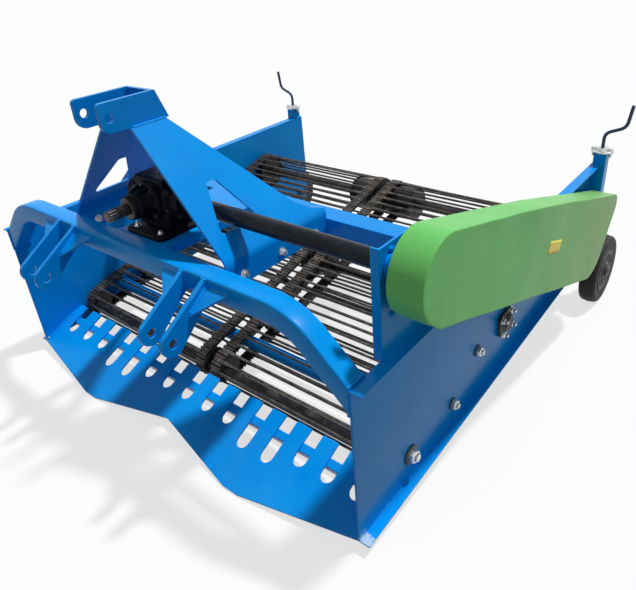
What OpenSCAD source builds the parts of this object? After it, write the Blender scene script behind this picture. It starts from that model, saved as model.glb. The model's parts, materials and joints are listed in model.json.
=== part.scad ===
// Mounted two-row potato digger: a slotted shovel lifts the ridge on to a
// rod conveyor between two side plates, driven from the tractor's shaft.
// The frame is drawn level and then tipped nose-down until the shovel's
// points and the wheels stand on the floor. X is to the drive-cover side,
// Y to the rear and Z up, in millimetres.

/* [Side plates] */
// Width over the outer faces of the two side plates
frame_w = 1650; // [1560:10:1740]
// Height of the side plates at the front
plate_h = 525; // [505:5:545]
// Length of the side plates
plate_l = 1735; // [1732:1:1780]
// Thickness of the side plates
plate_t = 6; // [4:1:8]
// Rise of the bottom edge towards the rear, in degrees
bottom_rise = 3.3; // [2.5:0.1:4]
// Width of the outward flanges
flange_w = 32; // [24:1:34]

/* [Shovel] */
// Slope of the shovel, in degrees
shovel_slope = 23.2; // [20:0.2:26]
// Thickness of the shovel plate
shovel_t = 8; // [6:1:10]
// Level length from the plate corners forward to the points
point_reach = 72; // [50:2:90]
// Place of the points to either side of the middle
point_x = 385; // [350:5:410]
// Level length from the plate corners back to the finger ends
finger_reach = 179; // [160:1:182]
// Number of slots
slot_n = 15; // [11:2:15]
// Spacing of the slots
slot_pitch = 105.5; // [100:0.5:108]
// Width of a slot
slot_w = 46; // [38:1:52]

/* [Hitch] */
// Height of the hitch bar's top above the side plates
bar_rise = 158; // [145:1:170]
// Section of the square hitch bar
bar_s = 64; // [60:1:68]
// Half length of the straight middle of the bar
bar_x = 560; // [520:5:580]
// Bend radius at the top of the bar
bar_r = 235; // [200:5:260]
// Downward angle of the bar's legs, in degrees
bar_a = 42; // [38:1:46]
// Lower-link pins: distance forward of the plate corners
pin_fwd = 133; // [120:1:150]
// Lower-link pins: height above the side plates
pin_rise = 29; // [10:1:40]
// Lower-link pin hole, diameter
pin_d = 28.5; // [26:0.1:30]
// Middle of each lower-link pair, to either side
pin_x = 315; // [300:1:330]
// Distance between the middles of the two lugs of a pair
lug_gap = 90; // [80:1:100]
// Top-link pin: height above the hitch bar's top
top_rise = 378; // [355:1:400]
// Top-link pin hole, diameter
top_d = 25.5; // [22:0.1:28]

/* [Drive] */
// Height of the input shaft and cross shaft above the hitch bar's top
shaft_rise = 97; // [92:1:102]
// Place of the cross shaft behind the plate corners
shaft_y = 170; // [165:1:180]
// Input shaft, diameter over the splines
input_d = 35; // [32:0.5:36]
// Outside diameter of the tube round the cross shaft
tube_d = 50; // [44:1:54]
// Outer face of the drive cover, beyond the side plate
cover_out = 125; // [118:1:126]
// Depth of the drive cover's rim
cover_d = 92; // [70:1:92]

/* [Conveyor] */
// Spacing of the conveyor rods along the loop
rod_pitch = 52; // [48:1:60]
// Diameter of the rods
rod_d = 11; // [9:0.5:12]
// Front turn: place behind the plate corners
front_y = 258; // [250:1:270]
// Front turn: height
front_z = 105; // [100:1:112]
// Front turn: radius to the rods' middles
front_r = 72; // [64:1:76]
// Rear turn: place behind the plate corners
rear_y = 1385; // [1370:1:1400]
// Rear turn: height
rear_z = 326; // [316:1:332]
// Rear turn: radius to the rods' middles
rear_r = 82; // [74:1:88]

/* [Wheels] */
// Wheel diameter
wheel_d = 310; // [290:2:320]
// Wheel width
wheel_w = 70; // [60:1:72]
// Place of the legs and axles behind the plate corners
leg_y = 1705; // [1700:1:1705]
// Height of the axles above the plate corners, at rest
axle_z = 55; // [40:1:65]
// Axle diameter
axle_d = 30; // [25:1:34]
// Section of the square sliding leg
leg_s = 36; // [30:1:36]
// Section of the square guide tube round the leg
guide_s = 50; // [48:1:52]

/* [Hidden] */
$fn = 64;

half = frame_w / 2;
bar_top = plate_h + bar_rise;
pin_z = plate_h + pin_rise;
top_z = bar_top + top_rise;
shaft_z = bar_top + shaft_rise;
inner = half - plate_t;
wheel_r = wheel_d / 2;

// The shovel's points, at the underside of its front edge.
point_z = -point_reach * tan(shovel_slope);
// Tip of the whole frame that sets the points and the wheels on one floor.
span_y = leg_y + point_reach;
span_z = axle_z - point_z;
pitch = asin(wheel_r / norm([span_y, span_z])) - atan2(span_z, span_y);
floor_z = point_z * cos(pitch) - point_reach * sin(pitch);
lug_r = 37;
front_end = -pin_fwd * cos(pitch) - pin_z * sin(pitch) - lug_r;
rear_end = leg_y * cos(pitch) - axle_z * sin(pitch) + wheel_r;
mid_y = (front_end + rear_end) / 2;

leg_x = half + guide_s / 2;
wheel_in = leg_x + leg_s / 2 + 6;
wheel_out = wheel_in + wheel_w;
cover_x = half + cover_out;
handle_d = 14;
// The crank handles set the width over all, just past the cover's face.
handle_x = cover_x + 2 - handle_d / 2;

// Places the level frame on the floor, with its middle at the origin.
module stand() {
    translate([0, -mid_y, -floor_z]) rotate([pitch, 0, 0]) children();
}

// A sketch in Y and Z, given thickness along +X from x0.
module yz(x0, t) {
    translate([x0, 0, 0]) rotate([90, 0, 90]) linear_extrude(t) children();
}

// A sketch in X and Z, given depth along +Y from y0.
module xz(y0, t) {
    translate([0, y0 + t, 0]) rotate([90, 0, 0]) linear_extrude(t) children();
}

// A round bar along X from x0 to x1 at a place in Y and Z.
module round_x(x0, x1, y, z, d) {
    translate([x0, y, z]) rotate([0, 90, 0]) cylinder(d = d, h = x1 - x0);
}

// A mirrored copy for the left side.
module left() {
    mirror([1, 0, 0]) children();
}

// Arc of a bend of radius r that starts level at x and turns down by a.
function bend(x, r, z, a) = [for (i = [0 : 14]) [x + r * sin(a * i / 14), z + r * cos(a * i / 14)]];
// The bend followed by its straight leg, out to x_end.
function bent_edge(x, r, z, a, x_end) = concat(bend(x, r, z, a),
    [[x_end, z + r * cos(a) - (x_end - x - r * sin(a)) * tan(a)]]);
function reversed(l) = [for (i = [len(l) - 1 : -1 : 0]) l[i]];
function flipped(l) = [for (p = l) [-p[0], p[1]]];
// Point at radius r and angle a round c, and an arc of such points.
function polar(c, r, a) = c + r * [cos(a), sin(a)];
function arc(c, r, a0, a1) = [for (i = [0 : 8]) polar(c, r, a0 + (a1 - a0) * i / 8)];

// A band of height h: straight in the middle, bent down by a at both ends,
// and cut off on the side plates' inner faces.
module portal(x, r, a, h, z_top) {
    top = bent_edge(x, r, z_top - r, a, inner);
    low = bent_edge(x, r - h, z_top - r, a, inner);
    polygon(concat(top, reversed(low), flipped(low), reversed(flipped(top))));
}

// Side plates

module side_plate() {
    rise = tan(bottom_rise);
    flange_end = leg_y - guide_s / 2 - 2;
    yz(inner, plate_t) difference() {
        polygon([[0, 0], [plate_l, plate_l * rise], [plate_l, plate_h],
            [0, plate_h]]);
        for (p = AXLES) translate([p[0], p[1]]) circle(d = p[2] + 0.1);
    }
    yz(half, flange_w)
        polygon([[0, plate_h - plate_t], [flange_end, plate_h - plate_t],
            [flange_end, plate_h], [0, plate_h]]);
    yz(half, flange_w)
        polygon([[0, 0], [flange_end, flange_end * rise],
            [flange_end, flange_end * rise + plate_t], [0, plate_t]]);
}

module side_plate_left() {
    color("dodgerblue") stand() left() side_plate();
}

module side_plate_right() {
    color("dodgerblue") stand() side_plate();
}

// Shovel: a sloping plate with two blunt points and fingers to the rear

// Front end of a slot: the slots nearest each point reach furthest.
function slot_front(x) = abs(abs(x) - point_x) < slot_pitch * 0.8 ? 62 : 92;

module shovel_sketch() {
    difference() {
        polygon([[-inner, 0], [-point_x - 30, -point_reach],
            [-point_x + 30, -point_reach], [0, 0],
            [point_x - 30, -point_reach], [point_x + 30, -point_reach],
            [inner, 0], [inner, finger_reach], [-inner, finger_reach]]
            );
        for (i = [0 : slot_n - 1]) {
            x = (i - (slot_n - 1) / 2) * slot_pitch;
            y = slot_front(x) + slot_w / 2;
            translate([x, y]) circle(d = slot_w);
            translate([x - slot_w / 2, y]) square([slot_w, finger_reach]);
        }
    }
}

module shovel() {
    color("dodgerblue") stand() rotate([shovel_slope, 0, 0])
        linear_extrude(shovel_t)
        scale_y() shovel_sketch();
}

// The sketch is drawn in level lengths and stretched along the slope.
module scale_y() {
    multmatrix([[1, 0, 0, 0], [0, 1 / cos(shovel_slope), 0, 0], [0, 0, 1, 0]])
        children();
}

module shovel_beam() {
    s = 40;
    color("dodgerblue") stand() rotate([shovel_slope, 0, 0])
        translate([-inner, 126 / cos(shovel_slope), -s]) cube([2 * inner, s, s]);
}

// Hitch

module hitch_bar() {
    color("dodgerblue") stand() xz(0, bar_s)
        portal(bar_x, bar_r, bar_a, bar_s, bar_top);
}

module lug_sketch() {
    difference() {
        union() {
            translate([-pin_fwd, pin_z]) circle(lug_r);
            polygon([[-pin_fwd - 22, pin_z + 29.7], [0, bar_top - 2],
                [0, bar_top - bar_s + 2], [-pin_fwd + 24, pin_z - 28]]);
        }
        translate([-pin_fwd, pin_z]) circle(d = pin_d);
    }
}

// Triangular gusset between a lug's outer side and the bar.
module lug_gusset(x) {
    g = 8;
    slope = atan2(bar_top - bar_s / 2 - pin_z, pin_fwd);
    l = 70;
    translate([x, 0, bar_top - bar_s / 2]) intersection() {
        rotate([slope, 0, 0]) linear_extrude(g)
            polygon([[0, 20], [0, -l * 1.25], [l * 1.4, 20]]);
        translate([0, -bar_s * 3, -bar_s * 3]) cube([l * 2, bar_s * 3, bar_s * 6]);
    }
}

module lower_lugs() {
    t = 14;
    for (s = [-1, 1]) yz(pin_x + s * lug_gap / 2 - t / 2, t) lug_sketch();
    lug_gusset(pin_x + lug_gap / 2 + t / 2);
    translate([2 * pin_x, 0, 0]) left() lug_gusset(pin_x + lug_gap / 2 + t / 2);
}

module lower_lugs_left() {
    color("dodgerblue") stand() left() lower_lugs();
}

module lower_lugs_right() {
    color("dodgerblue") stand() lower_lugs();
}

// Portal beam behind the gearbox, a web with a top flange
beam_y = 496;
beam_rise = 131;
beam_flange = 78;
beam_x = 640;
beam_r = 110;
beam_a = 40;
beam_h = 96;

module cross_beam() {
    t = 6;
    top = plate_h + beam_rise;
    color("dodgerblue") stand() {
        xz(beam_y, t) portal(beam_x, beam_r, beam_a, beam_h, top);
        xz(beam_y, beam_flange) portal(beam_x, beam_r, beam_a, t, top);
    }
}

// Mast: two leaning plates, each folded down to a bolted foot
foot_x = 370;
mast_t = 8;
fold_z = bar_top + 2;
foot_z = fold_z - 80;
mast_y = bar_s + 8;
rail_w = 12;
rail_top = bar_top - 15;
// The clevis ears: their outer faces, and their reach above and below the pin.
ear_out = 64;
ear_rise = 41;
// The mast's webs end under the ears.
mast_top = top_z - ear_rise;
mast_x = ear_out + 6;
lean = atan2(mast_top - fold_z, foot_x - mast_x);

// Flat bars from the hitch bar to the portal beam, which carry the mast's feet.
module frame_rails() {
    x = foot_x - mast_t - rail_w;
    h = 54;
    color("dodgerblue") stand() for (s = [0, 1]) mirror([s, 0, 0])
        translate([x, bar_s, rail_top - h])
        cube([rail_w, beam_y - bar_s, h]);
}

// The folded plate seen from the front: an upright foot, a fold that starts
// level with the rails' top, and a leaning web that runs on past its top edge.
module mast_profile() {
    fold_r = (fold_z - rail_top) / tan((90 - lean) / 2);
    fold_c = [foot_x - fold_r, rail_top];
    past = polar([mast_x, mast_top], 30, 180 - lean);
    polygon(concat([[foot_x, foot_z]], arc(fold_c, fold_r, 0, 90 - lean),
        [past, polar(past, mast_t, -90 - lean)],
        arc(fold_c, fold_r - mast_t, 90 - lean, 0), [[foot_x - mast_t, foot_z]]));
}

// The same plate seen from the side, with its window.
module mast_sketch() {
    low = foot_z - 10;
    corner_r = 12;
    difference() {
        polygon([[mast_y, low], [mast_y, mast_top], [190, mast_top],
            [405, fold_z + 52], [447, fold_z + 24], [beam_y, fold_z + 8],
            [beam_y, low]]);
        hull() {
            for (p = [[181, 161], [199, 161], [242, 73], [134, 69]])
                translate([p[0], fold_z + p[1]]) circle(corner_r, $fn = 32);
        }
    }
}

module mast_plate() {
    intersection() {
        xz(0, plate_l) mast_profile();
        yz(0, half) mast_sketch();
    }
}

module mast_plate_left() {
    color("dodgerblue") stand() left() mast_plate();
}

module mast_plate_right() {
    color("dodgerblue") stand() mast_plate();
}

// Top-link clevis: a plate bent to a U, open to the front
module top_clevis() {
    t = 12;
    pin_y = 18;
    front = pin_y - 28;
    high = top_z + ear_rise;
    high_r = 12;
    low_r = 30;
    back_top = 172;
    back_bottom = 204;
    color("dodgerblue") stand() {
        for (s = [0, 1]) mirror([s, 0, 0]) yz(ear_out - t, t) difference() {
            polygon(concat([[back_bottom, mast_top], [back_top, high]],
                arc([front + high_r, high - high_r], high_r, 90, 180),
                arc([front + low_r, mast_top + low_r], low_r, 180, 270)));
            translate([pin_y, top_z]) circle(d = top_d);
        }
        yz(-ear_out, 2 * ear_out) polygon([[back_top - t, high],
            [back_top, high], [back_bottom, mast_top],
            [back_bottom - t, mast_top]]);
    }
}

// Gearbox and shafts
base_t = 35;
base_w = 240;
base_top = bar_top - 5;
box_w = 190;
box_l = 140;
box_y = 105;
ring_t = 18;
barrel_y = 50;
neck_y = 35;
journal_d = 30;

// Channel from the hitch bar to the portal beam, under the gearbox.
module gearbox_base() {
    color("dodgerblue") stand() translate([-base_w / 2, bar_s, base_top - base_t])
        cube([base_w, beam_y - bar_s, base_t]);
}

module gearbox() {
    bottom = base_top;
    up = 2 * (shaft_z - bottom);
    fit = 0.05;
    color([0.12, 0.12, 0.13]) stand() difference() {
        union() {
            translate([-box_w / 2, box_y, bottom]) cube([box_w, box_l, up - 8]);
            translate([0, box_y, shaft_z]) rotate([90, 0, 0])
                cylinder(r = 84, h = ring_t);
            translate([0, box_y - ring_t, shaft_z]) rotate([90, 0, 0])
                cylinder(r = 58, h = box_y - ring_t - barrel_y);
            translate([0, barrel_y, shaft_z]) rotate([90, 0, 0])
                cylinder(r = 40, h = barrel_y - neck_y);
            round_x(-tube_start, tube_start, shaft_y, shaft_z, 130);
        }
        translate([0, box_y, shaft_z]) rotate([90, 0, 0])
            cylinder(d = journal_d + 2 * fit, h = box_y);
    }
}

// Stub shaft that the tractor's drive shaft slides on to, with its journal
// inside the gearbox.
module input_shaft() {
    tip = -26;
    color([0.3, 0.25, 0.22]) stand() translate([0, 0, shaft_z]) rotate([90, 0, 0]) {
        translate([0, 0, 1 - neck_y]) cylinder(d = input_d, h = neck_y - 1 - tip);
        translate([0, 0, 3 - box_y]) cylinder(d = journal_d, h = box_y - neck_y);
    }
}

tube_start = box_w / 2 + 24;
tube_end = inner - 14;

module shaft_tube() {
    color([0.15, 0.16, 0.18]) stand()
        round_x(tube_start, tube_end, shaft_y, shaft_z, tube_d);
}

module cross_shaft() {
    color([0.4, 0.4, 0.42]) stand()
        round_x(tube_end, cover_x - 22, shaft_y, shaft_z, 35);
}

// Plate that carries the cross shaft's outer bearing
tower_fwd = 40;
tower_up = 52;
tower_back = 310;
tower_rear_h = 95;

module bearing_tower() {
    front = shaft_y - tower_fwd;
    top = shaft_z + tower_up;
    rear = shaft_y + tower_back;
    color("dodgerblue") stand() {
        yz(inner, plate_t) difference() {
            polygon([[front, plate_h], [front, top], [shaft_y + 92, top],
                [rear, plate_h + tower_rear_h], [rear, plate_h]]);
            translate([shaft_y, shaft_z]) circle(d = 36);
        }
        translate([inner - 20, front, plate_h])
            cube([20, plate_t, top - plate_h]);
    }
}

module shaft_bearing() {
    color([0.2, 0.2, 0.2]) stand() yz(half, 26) difference() {
        translate([shaft_y, shaft_z]) circle(34);
        translate([shaft_y, shaft_z]) circle(d = 35.2);
    }
}

// Drive cover: a hollow sheet box, open to the side plate
cover_t = 3;

// Outline: a round nose ahead of the upper sprocket with a sharp lower
// corner, a bowed top edge and a deep round end under the lower sprocket.
module cover_sketch(shrink) {
    nose = [shaft_y + 45, shaft_z - 23];
    corner = [shaft_y + 21, shaft_z - 133];
    bow = [rear_y, rear_z] + [-565, 332];
    heel = [rear_y + 35, rear_z - 14];
    back = [rear_y + 227, rear_z + 76];
    hull() {
        translate(nose) circle(110 - shrink, $fn = 48);
        translate(corner) circle(12 - shrink, $fn = 24);
        translate(bow) circle(40 - shrink, $fn = 32);
        translate(heel) circle(146 - shrink, $fn = 48);
        translate(back) circle(46 - shrink, $fn = 32);
    }
}

module drive_cover() {
    color("mediumseagreen") stand() {
        yz(cover_x - cover_t, cover_t) cover_sketch(0);
        yz(cover_x - cover_d, cover_d - cover_t) difference() {
            cover_sketch(0);
            cover_sketch(cover_t);
        }
    }
}

// One stud on the tower and two on the side plate, inside the chain's loop.
stud_d = 16;
tower_stud = [200, -85];
front_stud = [590, -20];
rear_stud = [-205, -55];
STUDS = [[shaft_y, shaft_z] + tower_stud, [shaft_y, plate_h] + front_stud,
    [rear_y, plate_h] + rear_stud];

module cover_studs() {
    color("silver") stand() for (p = STUDS)
        round_x(half, cover_x - cover_t, p[0], p[1], stud_d);
}

// Chain drive inside the cover
sprocket_x = half + 74;
sprocket_t = 14;
upper_r = 40;
lower_r = 118;

module sprocket(y, z, r) {
    yz(sprocket_x, sprocket_t) difference() {
        translate([y, z]) circle(r);
        translate([y, z]) circle(d = 35.2);
    }
}

module upper_sprocket() {
    color([0.25, 0.25, 0.26]) stand() sprocket(shaft_y, shaft_z, upper_r);
}

module lower_sprocket() {
    color([0.25, 0.25, 0.26]) stand() sprocket(rear_y, rear_z, lower_r);
}

module chain_sketch(grow) {
    hull() {
        translate([shaft_y, shaft_z]) circle(upper_r + grow, $fn = 32);
        translate([rear_y, rear_z]) circle(lower_r + grow, $fn = 32);
    }
}

module drive_chain() {
    color([0.25, 0.25, 0.26]) stand()
        yz(sprocket_x - 3, sprocket_t + 6) difference() {
            chain_sketch(12);
            chain_sketch(1);
        }
}

// Rod conveyor: two loops side by side, each with rods between edge belts
web_gap = 34;
web_edge = 48;
web_out = inner - 14;
// Width of the inner drums of the drive shaft, and the front roll's tube.
drum_w = 150;
roll_d = 46;

// Angle of the straight runs and length of the closed path.
run_d = norm([rear_y - front_y, rear_z - front_z]);
run_a = atan2(rear_z - front_z, rear_y - front_y);
wedge = asin((rear_r - front_r) / run_d);
run_l = run_d * cos(wedge);
turn_f = (180 - 2 * wedge) * PI / 180 * front_r;
turn_r = (180 + 2 * wedge) * PI / 180 * rear_r;
loop_l = 2 * run_l + turn_f + turn_r;
rod_n = round(loop_l / rod_pitch);

// Point on the path at distance s from the start of the upper run.
function upper_n() = run_a + 90 + wedge;
function lower_n() = run_a - 90 - wedge;
front_c = [front_y, front_z];
rear_c = [rear_y, rear_z];
function mix(a, b, t) = a + (b - a) * t;
function path(s) =
    s < run_l ? mix(polar(front_c, front_r, upper_n()),
            polar(rear_c, rear_r, upper_n()), s / run_l)
    : s < run_l + turn_r ? polar(rear_c, rear_r,
            upper_n() - (s - run_l) / rear_r * 180 / PI)
    : s < 2 * run_l + turn_r ? mix(polar(rear_c, rear_r, lower_n()),
            polar(front_c, front_r, lower_n()), (s - run_l - turn_r) / run_l)
    : polar(front_c, front_r,
            lower_n() - (s - 2 * run_l - turn_r) / front_r * 180 / PI);

module web_outline(grow) {
    hull() {
        translate(front_c) circle(front_r + grow, $fn = 40);
        translate(rear_c) circle(rear_r + grow, $fn = 40);
    }
}

module web() {
    x0 = web_gap / 2;
    gap = 0.5;
    for (x = [x0, web_out - web_edge]) yz(x, web_edge) difference() {
        web_outline(rod_d / 2);
        web_outline(-rod_d / 2);
    }
    for (i = [0 : rod_n - 1]) {
        p = path(i * loop_l / rod_n);
        translate([x0 + web_edge + gap, p[0], p[1]]) rotate([0, 90, 0])
            cylinder(d = rod_d, h = web_out - x0 - 2 * web_edge - 2 * gap, $fn = 6);
    }
}

module web_left() {
    color([0.23, 0.22, 0.21]) stand() left() web();
}

module web_right() {
    color([0.23, 0.22, 0.21]) stand() web();
}

// Shafts and rollers inside the conveyor loops

// Place, height and diameter of each axle through the side plates.
return_axle = [508, 112];
idler_axle = [670, 218];
agitator_axle = [866, 222];
AXLES = [[front_y, front_z, 30], [return_axle[0], return_axle[1], 25],
    [idler_axle[0], idler_axle[1], 25], [agitator_axle[0], agitator_axle[1], 35],
    [rear_y, rear_z, 40]];

// An axle with a roller under each edge of both loops, the inner ones w wide.
module roller_axle(k, r, x_end, w = web_edge) {
    a = AXLES[k];
    x0 = web_gap / 2;
    round_x(-half - x_end, half + x_end, a[0], a[1], a[2]);
    for (s = [0, 1]) mirror([s, 0, 0]) {
        round_x(x0, x0 + w, a[0], a[1], 2 * r);
        round_x(web_out - web_edge, web_out, a[0], a[1], 2 * r);
    }
}

module drive_shaft() {
    a = AXLES[4];
    color([0.1, 0.1, 0.1]) stand() {
        roller_axle(4, rear_r - rod_d / 2 - 2, 26, drum_w);
        round_x(half, cover_x - 22, a[0], a[1], 35);
    }
}

module front_roll() {
    color([0.1, 0.1, 0.1]) stand() {
        roller_axle(0, front_r - rod_d / 2 - 2, 22);
        round_x(-web_out, web_out, front_y, front_z, roll_d);
    }
}

module upper_idlers() {
    color([0.1, 0.1, 0.1]) stand() roller_axle(2, 38, 18);
}

module return_idlers() {
    color([0.1, 0.1, 0.1]) stand() roller_axle(1, 27, 18);
}

module agitator() {
    color([0.1, 0.1, 0.1]) stand() roller_axle(3, 62, 26);
}

// Square flange bearings with a round boss.
module plate_bearings() {
    flange = 92;
    flange_t = 14;
    boss_r = 33;
    boss_t = 26;
    color([0.3, 0.28, 0.26]) stand() for (s = [0, 1], k = [3, 4]) {
        a = AXLES[k];
        mirror([s, 0, 0]) difference() {
            union() {
                yz(half, flange_t) translate([a[0], a[1]]) rotate(run_a)
                    square(flange, center = true);
                round_x(half, half + boss_t, a[0], a[1], 2 * boss_r);
            }
            round_x(half - 1, half + boss_t + 1, a[0], a[1], a[2] + 0.2);
        }
    }
}

// Round tube across the loops, between their upper and lower runs
loop_y = 395;
loop_z = 140;
loop_d = 48;

module loop_tube() {
    color("dodgerblue") stand() round_x(-inner, inner, loop_y, loop_z, loop_d);
}

// Wheel legs

guide_z0 = 250;
guide_z1 = plate_h + 41;

module guide() {
    c = leg_s + 0.8;
    translate([leg_x, leg_y, guide_z0]) difference() {
        translate([-guide_s / 2, -guide_s / 2, 0])
            cube([guide_s, guide_s, guide_z1 - guide_z0]);
        translate([-c / 2, -c / 2, -1])
            cube([c, c, guide_z1 - guide_z0 - 7]);
    }
}

module guide_left() {
    color("dodgerblue") stand() left() guide();
}

module guide_right() {
    color("dodgerblue") stand() guide();
}

head_t = 7;
head_h = 18;

module jack_heads() {
    color("silver") stand() for (s = [0, 1]) mirror([s, 0, 0])
        translate([leg_x, leg_y, guide_z1]) {
            cylinder(r = 38, h = head_t);
            cylinder(r = 24, h = head_h);
        }
}

// A Z-bent crank: up from the head, out, and up again to the handle.
module crank() {
    z0 = guide_z1 + head_h;
    pts = [[leg_x, z0], [leg_x, z0 + 76], [handle_x - 18, z0 + 108],
        [handle_x, z0 + 128], [handle_x, z0 + 200]];
    translate([0, leg_y, 0]) {
        for (i = [0 : len(pts) - 2]) {
            d = pts[i + 1] - pts[i];
            translate([pts[i][0], 0, pts[i][1]])
                rotate([0, atan2(d[0], d[1]), 0])
                cylinder(d = handle_d, h = norm(d));
        }
        for (i = [1 : len(pts) - 2]) translate([pts[i][0], 0, pts[i][1]])
            sphere(d = handle_d + 1);
    }
}

module crank_left() {
    color("midnightblue") stand() left() crank();
}

module crank_right() {
    color("midnightblue") stand() crank();
}

module leg() {
    z0 = axle_z - 30;
    z1 = guide_z1 - 51;
    translate([leg_x - leg_s / 2, leg_y - leg_s / 2, z0])
        cube([leg_s, leg_s, z1 - z0]);
    round_x(leg_x, wheel_out + 8, leg_y, axle_z, axle_d);
    round_x(wheel_out + 1, wheel_out + 8, leg_y, axle_z, axle_d + 22);
}

module leg_left() {
    color("dodgerblue") stand() left() leg();
}

module leg_right() {
    color("dodgerblue") stand() leg();
}

hub_r = 92;

// Section of the solid tyre with rounded shoulders, turned about the axle.
module tyre() {
    c = 14;
    translate([wheel_in, leg_y, axle_z]) rotate([0, 90, 0])
        rotate_extrude() {
            translate([hub_r, 0]) square([wheel_r - hub_r - c, wheel_w]);
            translate([wheel_r - c - 0.5, c]) square([c + 0.5, wheel_w - 2 * c]);
            for (z = [c, wheel_w - c]) translate([wheel_r - c, z]) circle(c);
        }
}

module tyre_left() {
    color([0.2, 0.2, 0.2]) stand() left() tyre();
}

module tyre_right() {
    color([0.2, 0.2, 0.2]) stand() tyre();
}

module hub() {
    fit = 0.05;
    translate([wheel_in, leg_y, axle_z]) rotate([0, 90, 0]) difference() {
        cylinder(r = hub_r, h = wheel_w);
        translate([0, 0, -1]) cylinder(d = axle_d + 2 * fit, h = wheel_w + 2);
    }
}

module hub_left() {
    color([0.3, 0.3, 0.3]) stand() left() hub();
}

module hub_right() {
    color([0.3, 0.3, 0.3]) stand() hub();
}

side_plate_left();
side_plate_right();
shovel();
shovel_beam();
hitch_bar();
lower_lugs_left();
lower_lugs_right();
frame_rails();
cross_beam();
mast_plate_left();
mast_plate_right();
top_clevis();
gearbox_base();
gearbox();
input_shaft();
shaft_tube();
cross_shaft();
bearing_tower();
shaft_bearing();
drive_cover();
cover_studs();
upper_sprocket();
lower_sprocket();
drive_chain();
web_left();
web_right();
drive_shaft();
front_roll();
upper_idlers();
return_idlers();
agitator();
plate_bearings();
loop_tube();
guide_left();
guide_right();
jack_heads();
crank_left();
crank_right();
leg_left();
leg_right();
tyre_left();
tyre_right();
hub_left();
hub_right();
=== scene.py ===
# Dresses a mounted potato digger: paint, castings, conveyor rods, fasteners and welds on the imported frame.
# Shapes are drawn in the machine's own level frame, in metres: x to the drive cover, y to the rear, z up.
import json
import math
import bmesh
import bpy
import numpy as np
from mathutils import Matrix


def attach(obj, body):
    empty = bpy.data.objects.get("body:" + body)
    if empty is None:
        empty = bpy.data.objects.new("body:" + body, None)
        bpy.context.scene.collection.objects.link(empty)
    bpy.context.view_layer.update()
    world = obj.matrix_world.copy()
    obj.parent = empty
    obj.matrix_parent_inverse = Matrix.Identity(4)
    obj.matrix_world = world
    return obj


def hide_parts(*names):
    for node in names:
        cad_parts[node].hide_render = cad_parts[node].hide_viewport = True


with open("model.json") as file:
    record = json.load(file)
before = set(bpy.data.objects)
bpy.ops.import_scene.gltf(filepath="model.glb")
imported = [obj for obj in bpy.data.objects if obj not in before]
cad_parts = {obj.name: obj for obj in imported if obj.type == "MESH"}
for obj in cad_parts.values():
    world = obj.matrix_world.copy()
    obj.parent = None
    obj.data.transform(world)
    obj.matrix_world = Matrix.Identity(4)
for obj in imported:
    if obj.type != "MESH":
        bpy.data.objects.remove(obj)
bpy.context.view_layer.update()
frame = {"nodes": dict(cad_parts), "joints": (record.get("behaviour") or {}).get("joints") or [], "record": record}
scene = bpy.context.scene
print("frame loaded:", len(frame["nodes"]), "nodes")

# Level frame: the model stands tipped, nose down, on its wheels.
levelFrame = {
    "topLinkY": 0.018,  # the top-link hole as drawn level
    "topLinkZ": 1.061,
}
jointOf = {joint["name"]: joint for joint in frame["joints"]}
mountOf = {mount["name"]: mount for mount in frame["record"]["mounts"]}
slideAxis = jointOf["leg_left_height"]["axis"]
tipSin, tipCos = -slideAxis[1], slideAxis[2]


def turnToRow(vectors):
    # y and z turn together about x by the tip of the machine
    vectors = np.asarray(vectors, float)
    y, z = vectors[..., 1], vectors[..., 2]
    return np.stack([vectors[..., 0], y * tipCos - z * tipSin, y * tipSin + z * tipCos], -1)


topLinkHole = (0.0, levelFrame["topLinkY"], levelFrame["topLinkZ"])
rowShift = np.array(mountOf["top_link"]["pos_m"]) - turnToRow(topLinkHole)


def toRow(points):
    return turnToRow(points) + rowShift


def toLevel(points):
    # the way back: the shift comes off, then the turn
    moved = np.asarray(points, float) - rowShift
    y, z = moved[..., 1], moved[..., 2]
    return np.stack([moved[..., 0], y * tipCos + z * tipSin, z * tipCos - y * tipSin], -1)


def levelBox(node):
    # the drawn node's lowest and highest numbers in the level frame
    mesh = frame["nodes"][node].data
    points = np.empty(len(mesh.vertices) * 3)
    mesh.vertices.foreach_get("co", points)
    points = toLevel(points.reshape(-1, 3))
    return points.min(0), points.max(0)


def middleOf(node):
    low, high = levelBox(node)
    return (low + high) / 2


# Shapes: each is a pair, an array of points and an array of four-cornered faces.
def gridShape(points, closeRows=False, closeColumns=False):
    # each grid point is joined to its neighbours along both parameters
    rows, columns = points.shape[:2]
    index = np.arange(rows * columns).reshape(rows, columns)
    if closeRows:
        index = np.vstack([index, index[:1]])
    if closeColumns:
        index = np.hstack([index, index[:, :1]])
    corners = [index[:-1, :-1], index[1:, :-1], index[1:, 1:], index[:-1, 1:]]
    return points.reshape(-1, 3), np.stack(corners, -1).reshape(-1, 4)


def joinShapes(*shapes):
    # faces count on from the points of the shapes before them
    starts = np.cumsum([0] + [len(points) for points, faces in shapes])
    faces = [faces + start for (points, faces), start in zip(shapes, starts)]
    return np.vstack([points for points, faces in shapes]), np.vstack(faces)


def mirrorShape(shape):
    # x changes its sign, and each face is read the other way round
    points, faces = shape
    return points * (-1, 1, 1), faces[:, ::-1]


def onSide(shape, side):
    # shapes are drawn on the right
    return mirrorShape(shape) if side == "left" else shape


def bothSides(shape):
    return joinShapes(shape, mirrorShape(shape))


def unit(vectors):
    # each vector over its length
    return vectors / np.linalg.norm(vectors, axis=-1, keepdims=True)


def axisFrame(axis):
    # two directions square to the axis, and the axis itself
    along = unit(np.array(axis, float))
    helper = (0.0, 0.0, 1.0) if abs(along[2]) < 0.9 else (0.0, 1.0, 0.0)
    first = unit(np.cross(helper, along))
    return first, np.cross(along, first), along


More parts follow.
